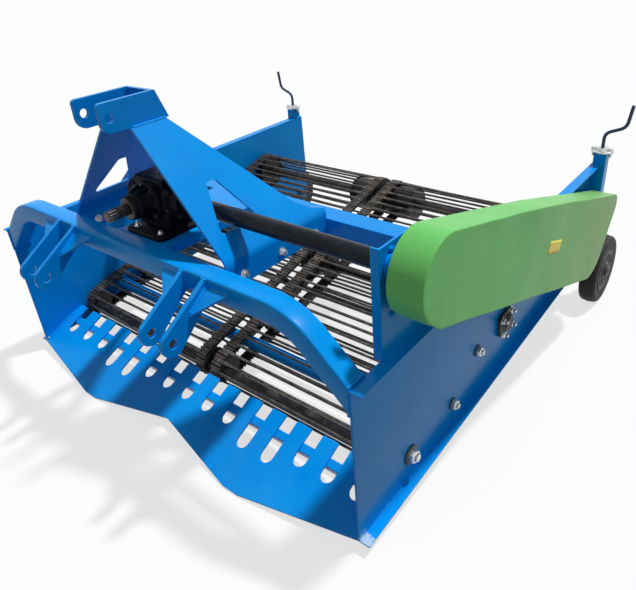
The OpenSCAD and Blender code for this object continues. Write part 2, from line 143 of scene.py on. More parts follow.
def ringShape(along, radius, centre, axis):
    # rings at the given distances along an axis; radius is one row per ring, one column per step round it
    first, second, forward = axisFrame(axis)
    turn = np.linspace(0, 2 * np.pi, radius.shape[1], endpoint=False)
    spoke = np.cos(turn)[:, None] * first + np.sin(turn)[:, None] * second
    along = np.concatenate([along[:1], along, along[-1:]])
    radius = np.vstack([radius[:1] * 0, radius, radius[-1:] * 0])
    points = np.array(centre) + along[:, None, None] * forward + radius[..., None] * spoke
    return gridShape(points, closeColumns=True)


def spinShape(profile, centre, axis, steps=32):
    # a profile of (distance along, radius) turned round the axis, with both ends closed
    profile = np.asarray(profile, float)
    radius = np.repeat(profile[:, 1:], steps, axis=1)
    return ringShape(profile[:, 0], radius, centre, axis)


def turned(sections, chamfer):
    # each section (start, end, radius) is one cut of a lathe, with its edges taken off
    start, end, radius = np.array(sections, float).T
    along = np.stack([start, start + chamfer, end - chamfer, end], 1)
    out = np.stack([radius - chamfer, radius, radius, radius - chamfer], 1)
    return np.stack([along.ravel(), out.ravel()], 1)


def latheShape(sections, place, steps=48, chamfer=0.0015):
    # a lathe's cuts round an axle that lies along x through the place
    return spinShape(turned(sections, chamfer), (0, place[1], place[2]), (1, 0, 0), steps)


def roundedRectangle(width, height, corner, steps=5):
    # a quarter arc in each corner, read round as one loop
    turn = np.arange(4)[:, None] * np.pi / 2 + np.linspace(0, np.pi / 2, steps)
    signX = np.array([1, -1, -1, 1])[:, None]
    signY = np.array([1, 1, -1, -1])[:, None]
    x = signX * (width / 2 - corner) + corner * np.cos(turn)
    y = signY * (height / 2 - corner) + corner * np.sin(turn)
    return np.stack([x, y], -1).reshape(-1, 2)


def circleProfile(radius, steps=12):
    # cosine and sine of equal steps round a circle
    turn = np.linspace(0, 2 * np.pi, steps, endpoint=False)
    return radius * np.stack([np.cos(turn), np.sin(turn)], -1)


def spreadEvenly(path, count):
    # the same path with its points at equal distances
    steps = np.linalg.norm(np.diff(path, axis=0), axis=1)
    length = np.concatenate([[0], np.cumsum(steps)])
    at = np.linspace(0, length[-1], count)
    return np.stack([np.interp(at, length, column) for column in path.T], -1)


def smoothPath(points, radius, steps=8):
    # each inner corner of a polyline becomes a curve that leaves and meets it at the given distance
    points = np.asarray(points, float)
    before = points[1:-1] + unit(points[:-2] - points[1:-1]) * radius
    after = points[1:-1] + unit(points[2:] - points[1:-1]) * radius
    share = np.linspace(0, 1, steps)[None, :, None]
    corner = points[1:-1, None]
    leaving = before[:, None] * (1 - share) ** 2
    turning = 2 * corner * share * (1 - share)
    curve = leaving + turning + after[:, None] * share ** 2
    return np.vstack([points[:1], curve.reshape(-1, points.shape[1]), points[-1:]])


def closedEnds(rings, path):
    # one more ring at each end, drawn together to the end of the path
    return np.concatenate([rings[:1] * 0 + path[0], rings, rings[-1:] * 0 + path[-1]])


def sweepShape(path, profile, side, ends=True):
    # the profile's first number is measured along side, the second square to both side and path
    path = np.asarray(path, float)
    side = np.asarray(side, float)
    across = unit(np.cross(unit(np.gradient(path, axis=0)), side))
    points = path[:, None] + profile[..., :1] * side + profile[..., 1:] * across[:, None]
    return gridShape(closedEnds(points, path) if ends else points, closeColumns=True)


def hullOutline(circles, count):
    # in each direction the circle that reaches farthest gives the outline of a band pulled round them all
    circles = np.array(circles, float)
    turn = np.linspace(0, 2 * np.pi, 2880)
    out = np.stack([np.cos(turn), np.sin(turn)], -1)
    farthest = (circles[:, :2] @ out.T + circles[:, 2:]).argmax(0)
    loop = circles[farthest, :2] + circles[farthest, 2:] * out
    return spreadEvenly(loop, count + 1)[:-1]


def loopLength(circles):
    # the sum of short steps round the band
    return np.linalg.norm(np.diff(hullOutline(circles, 2000), axis=0), axis=1).sum()


def loopDirections(loop):
    # forward from one neighbour of a point to the other, and outward square to it
    forward = unit(np.roll(loop, -1, 0) - np.roll(loop, 1, 0))
    return np.stack([forward[:, 1], -forward[:, 0]], -1), forward


def repeated(points, faces):
    # one set of faces for each copy in the first row of points
    starts = np.arange(len(points))[:, None, None] * points.shape[1]
    return points.reshape(-1, 3), (faces + starts).reshape(-1, 4)


def copiesAt(shape, places, axis=(0, 0, 1)):
    # a shape drawn along z, turned to the axis and set at each place
    points, faces = shape
    places = np.asarray(places, float).reshape(-1, 1, 3)
    return repeated(places + points @ np.array(axisFrame(axis)), faces)


def copiesRound(shape, count, start, height):
    # a shape drawn over the y axis, turned round it in equal steps and lifted to the height of a shaft
    points, faces = shape
    turn = (np.arange(count) + start)[:, None] * 2 * np.pi / count
    x = points[:, 0] * np.cos(turn) + points[:, 2] * np.sin(turn)
    z = points[:, 2] * np.cos(turn) - points[:, 0] * np.sin(turn)
    y = np.broadcast_to(points[:, 1], x.shape)
    return repeated(np.stack([x, y, z + height], -1), faces)


def beadShape(path, radius, pitch=0.006):
    # a round weld bead: its radius swells once for each ripple along the path
    path = np.asarray(path, float)
    length = np.linalg.norm(np.diff(path, axis=0), axis=1).sum()
    path = spreadEvenly(path, max(int(length / pitch * 5), 6))
    swell = 1 + 0.22 * np.abs(np.sin(np.linspace(0, np.pi * length / pitch, len(path))))
    tangent = unit(np.gradient(path, axis=0))
    helper = np.where(np.abs(tangent[:, 2:]) < 0.8, (0.0, 0.0, 1.0), (1.0, 0.0, 0.0))
    first = unit(np.cross(helper, tangent))
    second = np.cross(tangent, first)
    ring = circleProfile(radius, 8)
    lift = ring[:, 0, None] * first[:, None] + ring[:, 1, None] * second[:, None]
    points = path[:, None] + swell[:, None, None] * lift
    return gridShape(closedEnds(points, path), closeColumns=True)


boltShares = {  # of the bolt's size
    "flat": 0.78,  # from the middle of the hexagon to its flats
    "head": 0.68,
    "chamfer": 0.1,
    "washerThick": 0.16,
    "washerReach": 1.12,
    "thread": 0.5,
    "threadEnd": 0.42,
    "threadRound": 0.06,
}


def boltShape(size, thread=0.0, washer=True):
    # washer, hexagon with its corners turned off, and the end of the thread, as rings up the z axis
    share = {name: value * size for name, value in boltShares.items()}
    flat = share["flat"]
    turn = np.linspace(0, 2 * np.pi, 24, endpoint=False)
    hexagon = flat / np.cos((turn + np.pi / 6) % (np.pi / 3) - np.pi / 6)
    disc = np.ones(24)
    base = share["washerThick"] if washer else 0.0
    reach = share["washerReach"] if washer else 0.9 * flat
    top = base + share["head"]
    end = top + thread
    along = [0, base, base, top - share["chamfer"], top, top, end, end + share["threadRound"]]
    rows = [disc * reach, disc * reach, hexagon, hexagon, disc * 0.93 * flat]
    rows += [disc * share["thread"], disc * share["thread"], disc * share["threadEnd"]]
    return ringShape(np.array(along), np.array(rows), (0, 0, 0), (0, 0, 1))


# Finishes: arithmetic on a Value adds Math nodes, and Nodes.node adds any other node.
class Value:
    def __init__(self, nodes, socket):
        self.nodes = nodes
        self.socket = socket

    def math(self, operation, first, second):
        return self.nodes.node("ShaderNodeMath", {"operation": operation}, {0: first, 1: second})

    def __add__(self, other):
        return self.math("ADD", self, other)

    def __radd__(self, other):
        return self.math("ADD", other, self)

    def __sub__(self, other):
        return self.math("SUBTRACT", self, other)

    def __rsub__(self, other):
        return self.math("SUBTRACT", other, self)

    def __mul__(self, other):
        return self.math("MULTIPLY", self, other)

    def __rmul__(self, other):
        return self.math("MULTIPLY", other, self)


class Nodes:
    def __init__(self, owner):
        owner.use_nodes = True
        self.tree = owner.node_tree
        self.tree.nodes.clear()

    def node(self, kind, settings=None, sockets=None, out=0):
        made = self.tree.nodes.new(kind)
        for key, setting in (settings or {}).items():
            setattr(made, key, setting)
        for key, value in (sockets or {}).items():
            if isinstance(value, Value):
                self.tree.links.new(value.socket, made.inputs[key])
            else:
                made.inputs[key].default_value = value
        return Value(self, made.outputs[out]) if made.outputs else made


class Finish(Nodes):
    def __init__(self, name):
        self.material = bpy.data.materials.new(name)
        super().__init__(self.material)
        self.place = self.node("ShaderNodeTexCoord", out="Object")
        self.facing = self.node("ShaderNodeNewGeometry", out="Normal")

    def noise(self, scale, detail=4.0, stretch=None):
        place = self.place
        if stretch:
            place = self.node("ShaderNodeVectorMath", {"operation": "MULTIPLY"}, {0: place, 1: stretch})
        sockets = {"Vector": place, "Scale": scale, "Detail": detail, "Roughness": 0.55}
        return self.node("ShaderNodeTexNoise", None, sockets, "Fac")

    def band(self, value, low, high):
        # 0 below low, 1 above high, and a smooth step between
        settings = {"interpolation_type": "SMOOTHSTEP"}
        return self.node("ShaderNodeMapRange", settings, {"Value": value, "From Min": low, "From Max": high})

    def blend(self, share, first, second):
        settings = {"data_type": "RGBA"}
        colours = [tint if isinstance(tint, Value) else (*tint, 1.0) for tint in (first, second)]
        return self.node("ShaderNodeMix", settings, {0: share, 6: colours[0], 7: colours[1]}, 2)

    def upward(self):
        # 1 on a face that looks up, 0 on a wall
        return self.band(self.node("ShaderNodeSeparateXYZ", None, {0: self.facing}, "Z"), 0.15, 0.9)

    def away(self, place):
        # distance from a fixed place
        sockets = {0: self.place, 1: tuple(float(number) for number in place)}
        return self.node("ShaderNodeVectorMath", {"operation": "DISTANCE"}, sockets, "Value")

    def scratches(self, stretch, low=0.66, high=0.69):
        # thin long marks: stretched noise cut to a narrow band, only where a broad noise allows it
        lines = self.band(self.noise(1.0, 2.0, stretch), low, high)
        return lines * self.band(self.noise(5.0), 0.5, 0.62)

    def bump(self, height, strength, distance=0.001):
        sockets = {"Strength": strength, "Distance": distance, "Height": height}
        return self.node("ShaderNodeBump", None, sockets)

    def shader(self, colour, **sockets):
        labels = {"roughness": "Roughness", "metallic": "Metallic", "normal": "Normal",
                  "coat": "Coat Weight", "coatRoughness": "Coat Roughness", "specular": "Specular IOR Level"}
        wired = {labels[key]: value for key, value in sockets.items()}
        surface = self.node("ShaderNodeBsdfPrincipled", None, {"Base Color": colour, **wired})
        self.node("ShaderNodeOutputMaterial", None, {"Surface": surface})
        return self.material


rubbedAndHighlitSpots = (  # level place and reach of pale spots: corners rubbed to bare metal, and on the front corners of the bottom flanges a painted highlight as well
    ((0.840, 0.010, 0.004), 0.030),
    ((-0.840, 0.010, 0.004), 0.030),
    ((0.000, 0.186, 1.112), 0.012),
)


def makeBluePaint(name, wear=0.0):
    # gloss enamel: broad shifts of tone, thin dust on top faces, fine scratches and a few dirt specks
    paint = Finish(name)
    colour = paint.blend(paint.band(paint.noise(2.3), 0.35, 0.65), (0.0, 0.300, 0.87), (0.0, 0.360, 0.97))
    dust = paint.band(paint.noise(7.0, 8.0), 0.45, 0.8) * (0.01 + 0.03 * paint.upward())
    colour = paint.blend(dust, colour, (0.30, 0.42, 0.52))
    marks = paint.scratches((31.0, 13.0, 170.0)) * 0.1
    colour = paint.blend(marks, colour, (0.10, 0.42, 0.90))
    specks = paint.band(paint.noise(210.0, 2.0), 0.73, 0.76)
    colour = paint.blend(specks * 0.6, colour, (0.05, 0.06, 0.08))
    if wear:
        bare = paint.band(paint.noise(38.0, 6.0), 0.62 - 0.2 * wear, 0.72 - 0.1 * wear)
        colour = paint.blend(bare * 0.8, colour, (0.14, 0.50, 0.94))
    # pale spots: rubbed corners, and on the bottom flanges' front corners a painted highlight
    for place, reach in rubbedAndHighlitSpots:
        ragged = reach * (2.6 * paint.noise(150.0, 8.0) - 0.5) - paint.away(toRow(place))
        colour = paint.blend(paint.band(ragged, 0.0, 0.003) * 0.8, colour, (0.58, 0.76, 0.88))
    roughness = 0.2 + 0.14 * paint.noise(4.0) + 0.5 * dust + 0.1 * marks
    normal = paint.bump(paint.noise(420.0, 2.0) * 0.25 + paint.noise(14.0, 2.0), 0.12, 0.002)
    return paint.shader(colour=colour, roughness=roughness, normal=normal, specular=0.08,
                        coat=0.05, coatRoughness=0.07)


def makeGreenPaint():
    # satin green, faded to the rear: scuffs, faint drips of dirt, a few rust specks and long scratches
    paint = Finish("greenPaint")
    colour = paint.blend(paint.band(paint.noise(3.1), 0.3, 0.7), (0.145, 0.56, 0.130), (0.185, 0.65, 0.170))
    rearward = paint.node("ShaderNodeSeparateXYZ", None, {0: paint.place}, "Y")
    faded = paint.band(rearward + 0.5 * paint.noise(2.5), -0.1, 1.1)
    colour = paint.blend(faded * 0.6, colour, (0.275, 0.43, 0.140))
    scuff = paint.band(paint.noise(11.0, 8.0), 0.55, 0.8)
    colour = paint.blend(scuff * 0.25, colour, (0.33, 0.60, 0.24))
    dirt = paint.band(paint.noise(1.0, 6.0, (6.0, 14.0, 3.0)), 0.55, 0.85)
    colour = paint.blend(dirt * 0.25, colour, (0.10, 0.24, 0.08))
    marks = paint.scratches((20.0, 7.0, 150.0))
    colour = paint.blend(marks * 0.4, colour, (0.05, 0.16, 0.05))
    rust = paint.band(paint.noise(90.0, 3.0), 0.735, 0.76)
    colour = paint.blend(rust * 0.8, colour, (0.16, 0.06, 0.02))
    roughness = 0.36 + 0.12 * paint.noise(6.0) + 0.12 * scuff
    normal = paint.bump(paint.noise(380.0, 2.0) * 0.2 + paint.noise(10.0, 2.0), 0.12, 0.002)
    return paint.shader(colour=colour, roughness=roughness, normal=normal, specular=0.13,
                        coat=0.05, coatRoughness=0.2)


def makeDark(name, low, high, dustAndSheenColour, dustAndSheenAmount, roughness, grain, specular=0.5):
    # dark casting, paint or rubber: two tones, settled dust and a grain; on the tube the bluish dust on its top
    # also paints the sky's reflection
    dark = Finish(name)
    colour = dark.blend(dark.band(dark.noise(14.0, 6.0), 0.3, 0.7), low, high)
    # settled dust, heavier on top faces; on the tube its bluish tint also paints a sky reflection there
    dust = dark.band(dark.noise(26.0, 8.0), 0.42, 0.75) * (0.25 + 0.75 * dark.upward())
    colour = dark.blend(dust * dustAndSheenAmount, colour, dustAndSheenColour)
    specks = dark.band(dark.noise(160.0, 2.0), 0.7, 0.74)
    colour = dark.blend(specks * dustAndSheenAmount, colour, dustAndSheenColour)
    rough = roughness + 0.12 * dark.noise(18.0) + 0.2 * dust
    normal = dark.bump(dark.noise(260.0, 4.0) + dark.noise(60.0, 3.0), grain, 0.001)
    return dark.shader(colour=colour, roughness=rough, normal=normal, specular=specular)


def makeSteel(name, base, bright, stain, roughness, metallic, stainShare):
    # bare or plated steel: bright rubbed patches, stained ones and a fine grain
    steel = Finish(name)
    rubbed = steel.band(steel.noise(34.0, 6.0), 0.4, 0.7)
    colour = steel.blend(rubbed, base, bright)
    stained = steel.band(steel.noise(22.0, 8.0), 0.62 - 0.3 * stainShare, 0.82 - 0.3 * stainShare)
    colour = steel.blend(stained * 0.85, colour, stain)
    rough = roughness + 0.25 * stained + 0.08 * steel.noise(90.0)
    normal = steel.bump(steel.noise(300.0, 3.0) + stained, 0.15, 0.0006)
    return steel.shader(colour=colour, roughness=rough, normal=normal, metallic=metallic)


def makeLabel():
    # blank sticker
    label = Finish("yellowLabel")
    colour = label.blend(label.band(label.noise(40.0), 0.35, 0.7), (1.0, 0.80, 0.05), (1.0, 0.86, 0.12))
    return label.shader(colour=colour, roughness=0.45 + 0.1 * label.noise(60.0))


bluePaint = makeBluePaint("bluePaint")
blueEdge = makeBluePaint("blueEdge", wear=0.6)
greenPaint = makeGreenPaint()
blackCasting = makeDark("blackCasting", (0.003, 0.004, 0.007), (0.006, 0.008, 0.013), (0.05, 0.06, 0.08),
                        dustAndSheenAmount=0.06, roughness=0.34, grain=0.3, specular=0.07)
blackPaint = makeDark("blackPaint", (0.006, 0.006, 0.008), (0.012, 0.012, 0.015), (0.17, 0.15, 0.13),
                      dustAndSheenAmount=0.3, roughness=0.3, grain=0.12, specular=0.3)
# its dust is tinted blue and gathers on the top: partly dust, partly a painted reflection of the sky along the
# tube's top
tubePaint = makeDark("tubePaint", (0.006, 0.008, 0.013), (0.012, 0.016, 0.026), (0.16, 0.18, 0.20),
                     dustAndSheenAmount=0.06, roughness=0.2, grain=0.08, specular=0.12)
beltRubber = makeDark("beltRubber", (0.010, 0.009, 0.009), (0.020, 0.018, 0.016), (0.13, 0.10, 0.075),
                      dustAndSheenAmount=0.55, roughness=0.62, grain=0.3, specular=0.25)
tyreRubber = makeDark("tyreRubber", (0.010, 0.010, 0.011), (0.019, 0.019, 0.020), (0.17, 0.14, 0.12),
                      dustAndSheenAmount=0.5, roughness=0.6, grain=0.25, specular=0.3)
darkBlue = makeDark("darkBluePaint", (0.006, 0.030, 0.11), (0.010, 0.045, 0.16), (0.22, 0.25, 0.30),
                    dustAndSheenAmount=0.12, roughness=0.25, grain=0.06)
rodSteel = makeSteel("rodSteel", (0.060, 0.053, 0.047), (0.16, 0.14, 0.12), (0.028, 0.023, 0.020),
                     roughness=0.42, metallic=0.35, stainShare=0.35)
zinc = makeSteel("zincPlate", (0.60, 0.62, 0.62), (0.78, 0.79, 0.77), (0.36, 0.34, 0.28),
                 roughness=0.26, metallic=0.9, stainShare=0.2)
stubSteel = makeSteel("stubSteel", (0.026, 0.018, 0.015), (0.085, 0.064, 0.054), (0.013, 0.010, 0.008),
                      roughness=0.38, metallic=0.3, stainShare=0.4)
darkCasting = makeSteel("darkCasting", (0.040, 0.043, 0.036), (0.095, 0.098, 0.084), (0.022, 0.021, 0.016),
                        roughness=0.42, metallic=0.3, stainShare=0.4)
wheelGrey = makeSteel("wheelGrey", (0.060, 0.056, 0.052), (0.125, 0.115, 0.105), (0.030, 0.028, 0.026),
                      roughness=0.5, metallic=0.2, stainShare=0.4)
chainSteel = makeSteel("chainSteel", (0.10, 0.095, 0.085), (0.22, 0.21, 0.19), (0.035, 0.027, 0.020),
                       roughness=0.38, metallic=0.8, stainShare=0.4)
yellowLabel = makeLabel()
print("finishes ready")


def finishPiece(piece, material, body, nodes):
    piece.data.materials.append(material)
    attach(piece, body)
    if nodes:
        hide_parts(*nodes)
    return piece


def makePiece(name, shape, material, body="frame", nodes=(), sharp=38):
    # the shape is placed on the tipped frame, its poles and seams are merged and its faces turned outwards
    points, faces = shape
    mesh = bpy.data.meshes.new(name)
    mesh.from_pydata(toRow(points).tolist(), [], faces.tolist())
    work = bmesh.new()
    work.from_mesh(mesh)
    bmesh.ops.remove_doubles(work, verts=work.verts, dist=2e-6)
    bmesh.ops.recalc_face_normals(work, faces=work.faces)
    work.to_mesh(mesh)
    work.free()
    mesh.shade_smooth()
    mesh.set_sharp_from_angle(angle=math.radians(sharp))
    piece = bpy.data.objects.new(name, mesh)
    scene.collection.objects.link(piece)
    return finishPiece(piece, material, body, nodes)


def softCopy(node, material, edge=None, width=0.0015, body="frame", move=None):
    # a copy of a plate or tube with merged corners, flat faces made whole, its points moved and edges rounded
    mesh = frame["nodes"][node].data.copy()
    mesh.materials.clear()
    work = bmesh.new()
    work.from_mesh(mesh)
    bmesh.ops.remove_doubles(work, verts=work.verts, dist=2e-6)
    bmesh.ops.dissolve_limit(work, angle_limit=math.radians(1), verts=work.verts, edges=work.edges)
    work.to_mesh(mesh)
    work.free()
    if move:
        places = np.empty(len(mesh.vertices) * 3)
        mesh.vertices.foreach_get("co", places)
        mesh.vertices.foreach_set("co", toRow(move(toLevel(places.reshape(-1, 3)))).ravel())
    mesh.shade_smooth()
    piece = bpy.data.objects.new(node + "_dressed", mesh)
    scene.collection.objects.link(piece)
    finishPiece(piece, material, body, (node,))
    rounding = piece.modifiers.new("roundedEdges", "BEVEL")
    rounding.width = width
    rounding.segments = 2
    rounding.limit_method = "ANGLE"
    rounding.angle_limit = math.radians(40)
    flatter = piece.modifiers.new("flatFaces", "WEIGHTED_NORMAL")
    flatter.weight = 100
    if edge:
        piece.data.materials.append(edge)
        rounding.material = 1


# Camera, floor and light
camera = {
    "place": (1.4854, -0.8111, 1.4360),  # in the level frame
    "yaw": math.radians(-40.594),
    "down": math.radians(28.608),
    "roll": math.radians(4.363),
    "focal": 595.53,  # in pixels of the picture
    "centre": (328.67, 262.07),
    "picture": (636, 590),
}


def addCamera():
    # the look, right and down directions from yaw and dip, rolled about the look and tipped with the machine
    yaw, down, roll = camera["yaw"], camera["down"], camera["roll"]
    ahead = np.array([math.sin(yaw) * math.cos(down), math.cos(yaw) * math.cos(down), -math.sin(down)])
    right = np.array([math.cos(yaw), -math.sin(yaw), 0.0])
    below = np.cross(ahead, right)
    rolledRight = math.cos(roll) * right + math.sin(roll) * below
    rolledBelow = math.cos(roll) * below - math.sin(roll) * right
    axes = turnToRow([rolledRight, -rolledBelow, -ahead])
    wide, high = camera["picture"]
    data = bpy.data.cameras.new("camera")
    data.sensor_width = 36.0
    data.lens = camera["focal"] / wide * data.sensor_width
    data.shift_x = (wide / 2 - camera["centre"][0]) / wide
    data.shift_y = (camera["centre"][1] - high / 2) / wide
    placed = bpy.data.objects.new("camera", data)
    turn = Matrix(axes.T.tolist()).to_4x4()
    placed.matrix_world = Matrix.Translation(toRow(camera["place"]).tolist()) @ turn
    scene.collection.objects.link(placed)
    scene.camera = placed


studio = {
    "floorRadius": 80.0,
    "paleFloor": 0.93,  # as seen
    "whiteShare": 0.7,  # how much of the seen floor is plain white, which thins the shadows on it
    "bounceFloor": 0.20,  # as it lights the machine from below
    "skyLight": 0.26,
    "keyStrength": 2.6,
    "keySoftness": math.radians(4),
    "keyFrom": (0.22, 0.40, 1.0),
}


def seenDirectly(nodes):
    # 1 for what the camera, a mirror or glass sees, 0 for light that only bounces
    direct, glossy, clear = [nodes.node("ShaderNodeLightPath", out="Is " + kind + " Ray")
                             for kind in ("Camera", "Glossy", "Transmission")]
    return direct + glossy + clear


def addStudio():
    # a wide floor, an even sky and one sun; floor and sky are dimmer for light that only bounces
    turn = np.linspace(0, 2 * np.pi, 64, endpoint=False)
    rim = studio["floorRadius"] * np.stack([np.cos(turn), np.sin(turn), turn * 0], -1)
    mesh = bpy.data.meshes.new("floor")
    mesh.from_pydata(rim.tolist(), [], [list(range(len(rim)))])
    floor = bpy.data.objects.new("floor", mesh)
    scene.collection.objects.link(floor)
    paint = bpy.data.materials.new("paleFloor")
    nodes = Nodes(paint)
    pale = nodes.node("ShaderNodeBsdfDiffuse", None, {"Color": (studio["paleFloor"],) * 3 + (1.0,)})
    white = nodes.node("ShaderNodeEmission", None, {"Strength": 1.0})
    seen = nodes.node("ShaderNodeMixShader", None, {0: studio["whiteShare"], 1: pale, 2: white})
    dim = nodes.node("ShaderNodeBsdfDiffuse", None, {"Color": (studio["bounceFloor"],) * 3 + (1.0,)})
    mixed = nodes.node("ShaderNodeMixShader", None, {0: seenDirectly(nodes), 1: dim, 2: seen})
    nodes.node("ShaderNodeOutputMaterial", None, {"Surface": mixed})
    mesh.materials.append(paint)
    world = bpy.data.worlds.new("studio")
    scene.world = world
    nodes = Nodes(world)
    strength = studio["skyLight"] + (1 - studio["skyLight"]) * seenDirectly(nodes)
    sky = nodes.node("ShaderNodeBackground", None, {"Color": (1.0, 1.0, 1.0, 1.0), "Strength": strength})
    nodes.node("ShaderNodeOutputWorld", None, {"Surface": sky})
    key = bpy.data.lights.new("key", "SUN")
    key.energy = studio["keyStrength"]
    key.angle = studio["keySoftness"]
    lamp = bpy.data.objects.new("key", key)
    axes = np.array(axisFrame(turnToRow(studio["keyFrom"])))
    lamp.matrix_world = Matrix(axes.T.tolist()).to_4x4()
    scene.collection.objects.link(lamp)
    scene.view_settings.view_transform = "Standard"


addCamera()
addStudio()
print("camera and studio ready")

# Plates, beams and tubes copied from the drawn nodes, a few with points moved
rear = {
    "plateRise": 0.012,  # how far the plates' top edges climb to the rear
    "plateTop": 0.45,  # the height above which they climb
    "guideRise": 0.022,  # how far the guide tubes stand up
    "guideTop": 0.5,
}


def raisedRear(points):
    # the top edge climbs evenly towards the rear
    share = points[:, 1] / levelBox("side_plate_right")[1][1] * (points[:, 2] > rear["plateTop"])
    return points + share[:, None] * (0, 0, rear["plateRise"])


def raisedGuide(points):
    # the upper end of a tube is lifted whole
    return points + (points[:, 2] > rear["guideTop"])[:, None] * (0, 0, rear["guideRise"])


shovel = {
    "slope": math.radians(23.2),
    "pitch": 0.1055,  # of the slots as drawn
    "spread": 1.012,
    "slotsHalf": 0.80,  # all slots lie within this distance from the middle
    "slotFronts": (0.05, 0.13),  # the front ends of the slots lie between these, up the slope
    "fingersFrom": 0.17,  # and the ends of the fingers beyond this
    "longSlots": (3, 4),  # counted from the middle
    "longForward": 0.022,  # how far the front ends of the slots move forward
    "shortForward": 0.0145,
    "fingers": 0.010,  # how much further the fingers reach
    "beam": (0.1175, 0.145),  # front and rear of the beam under the slots
}


def upTheSlope(points):
    # level distance to the rear of the point of the sloping plate that lies under or over each point
    slope = shovel["slope"]
    return (points[:, 1] * math.cos(slope) + points[:, 2] * math.sin(slope)) * math.cos(slope)


def movedUp(points, shift):
    # a shift to the rear that climbs with the plate
    return points + shift[:, None] * (0, 1, math.tan(shovel["slope"]))


def longerSlots(points):
    # slot ends go forward, finger ends back, and the slots spread to their real pitch
    away = upTheSlope(points)
    slot = np.round(np.abs(points[:, 0]) / shovel["pitch"])
    forward = np.where(np.isin(slot, shovel["longSlots"]), shovel["longForward"], shovel["shortForward"])
    first, last = shovel["slotFronts"]
    shift = (away > shovel["fingersFrom"]) * shovel["fingers"] - ((away > first) & (away < last)) * forward
    moved = movedUp(points, shift)
    slotted = (away > first) & (np.abs(points[:, 0]) < shovel["slotsHalf"])
    moved[:, 0] *= np.where(slotted, shovel["spread"], 1.0)
    return moved


def slimmerBeam(points):
    # the rear half goes to the beam's new rear, the front half to its new front
    away = upTheSlope(points)
    front, back = shovel["beam"]
    return movedUp(points, np.where(away > away.mean(), back, front) - away)


for side in ("left", "right"):
    softCopy("side_plate_" + side, bluePaint, blueEdge, move=raisedRear)
    softCopy("guide_" + side, bluePaint, width=0.004, move=raisedGuide)
softCopy("shovel", bluePaint, blueEdge, move=longerSlots)
softCopy("shovel_beam", bluePaint, width=0.004, move=slimmerBeam)
for node in ("lower_lugs_left", "lower_lugs_right", "mast_plate_left", "mast_plate_right", "top_clevis"):
    softCopy(node, bluePaint, blueEdge)
for node in ("frame_rails", "cross_beam", "bearing_tower", "gearbox_base"):
    softCopy(node, bluePaint, width=0.004)
for side in ("left", "right"):
    softCopy("leg_" + side, bluePaint, blueEdge, body="leg_" + side)
print("plates ready")

# Hitch bar: a square tube bent down at both ends
hitch = {"straight": 0.56, "bend": 0.203, "angle": math.radians(42), "corner": 0.007}


def addHitchBar():
    # a rounded square carried along a straight, an arc and a leg on each side
    low, high = levelBox("hitch_bar")
    side = high[1] - low[1]
    middleZ = high[2] - side / 2
    turn = np.linspace(0, hitch["angle"], 24)
    bendX = hitch["straight"] + hitch["bend"] * np.sin(turn)
    bendZ = middleZ - hitch["bend"] * (1 - np.cos(turn))
    legZ = bendZ[-1] - (high[0] - bendX[-1]) * math.tan(hitch["angle"])
    half = np.stack([np.append(bendX, high[0]), np.append(bendZ, legZ)], -1)
    half = np.vstack([[[0.0, middleZ]], half])
    outline = np.vstack([half[:0:-1] * (-1, 1), half])
    path = np.stack([outline[:, 0], outline[:, 0] * 0 + (low[1] + high[1]) / 2, outline[:, 1]], -1)
    points, faces = sweepShape(path, roundedRectangle(side, side, hitch["corner"]), (0, 1, 0), ends=False)
    rings = points.reshape(len(path), -1, 3)
    for end, other in ((0, 1), (-1, -2)):  # the cut ends lie on the side plates
        along = path[end] - path[other]
        rings[end] += ((path[end][0] - rings[end][:, 0]) / along[0])[:, None] * along
    makePiece("hitch_bar_dressed", (rings.reshape(-1, 3), faces), bluePaint, nodes=("hitch_bar",))


addHitchBar()
print("hitch bar ready")

# Rod conveyor: two loops of rods on edge belts with short cleats between the rods
conveyor = {
    "pitch": 0.0427,
    "seeds": {"left": 5, "right": 9},
    "rodRadius": 0.0049,
    "rodInset": 0.004,  # from the edge of the loop
    "rodFlat": 0.075,  # how much of each end of a rod is pressed flat
    "bow": 0.0025,  # how far a used rod is bent at its middle
    "beltWide": 0.048,
    "beltThick": 0.007,
    "beltCorner": 0.002,
    "cleatRadius": 0.0052,
    "cleatInset": 0.001,
    "cleatLift": 0.002,
    "rivet": ((0, 0.0045), (0.002, 0.0042), (0.0033, 0.0025)),  # height and radius
    "rivetInset": (0.013, 0.036),
    "rivetLift": 0.0055,
    "front": (  # y, z and radius
        (0.233, 0.0745, 0.031),  # round the front tube
        (0.260, 0.089, 0.050),  # round the shoes behind it
    ),
}
frontAxle = middleOf("front_roll")
rearAxle = middleOf("lower_sprocket") * (0, 1, 1)


def loopCircles():
    # the loops are pulled round the front tube, the shoes and the rear drums
    rearReach = levelBox("web_right")[1][1] - rearAxle[1] - conveyor["rodRadius"]
    return [*conveyor["front"], (rearAxle[1], rearAxle[2], rearReach)]


def loopStations(circles, count):
    # points of a closed loop in the y-z plane, with the outward and forward directions at each
    loop = hullOutline(circles, count)
    return [np.insert(part, 0, 0.0, axis=1) for part in (loop, *loopDirections(loop))]


def alongLoop(local, stations):
    # local points (x, outward, forward) carried to each station of a loop
    local = np.broadcast_to(local, (len(stations[0]),) + np.shape(local)[-2:])
    base, outward, forward = [part[:, None] for part in stations]
    sideways = local[..., :1] * (1.0, 0.0, 0.0)
    return base + sideways + local[..., 1:2] * outward + local[..., 2:] * forward


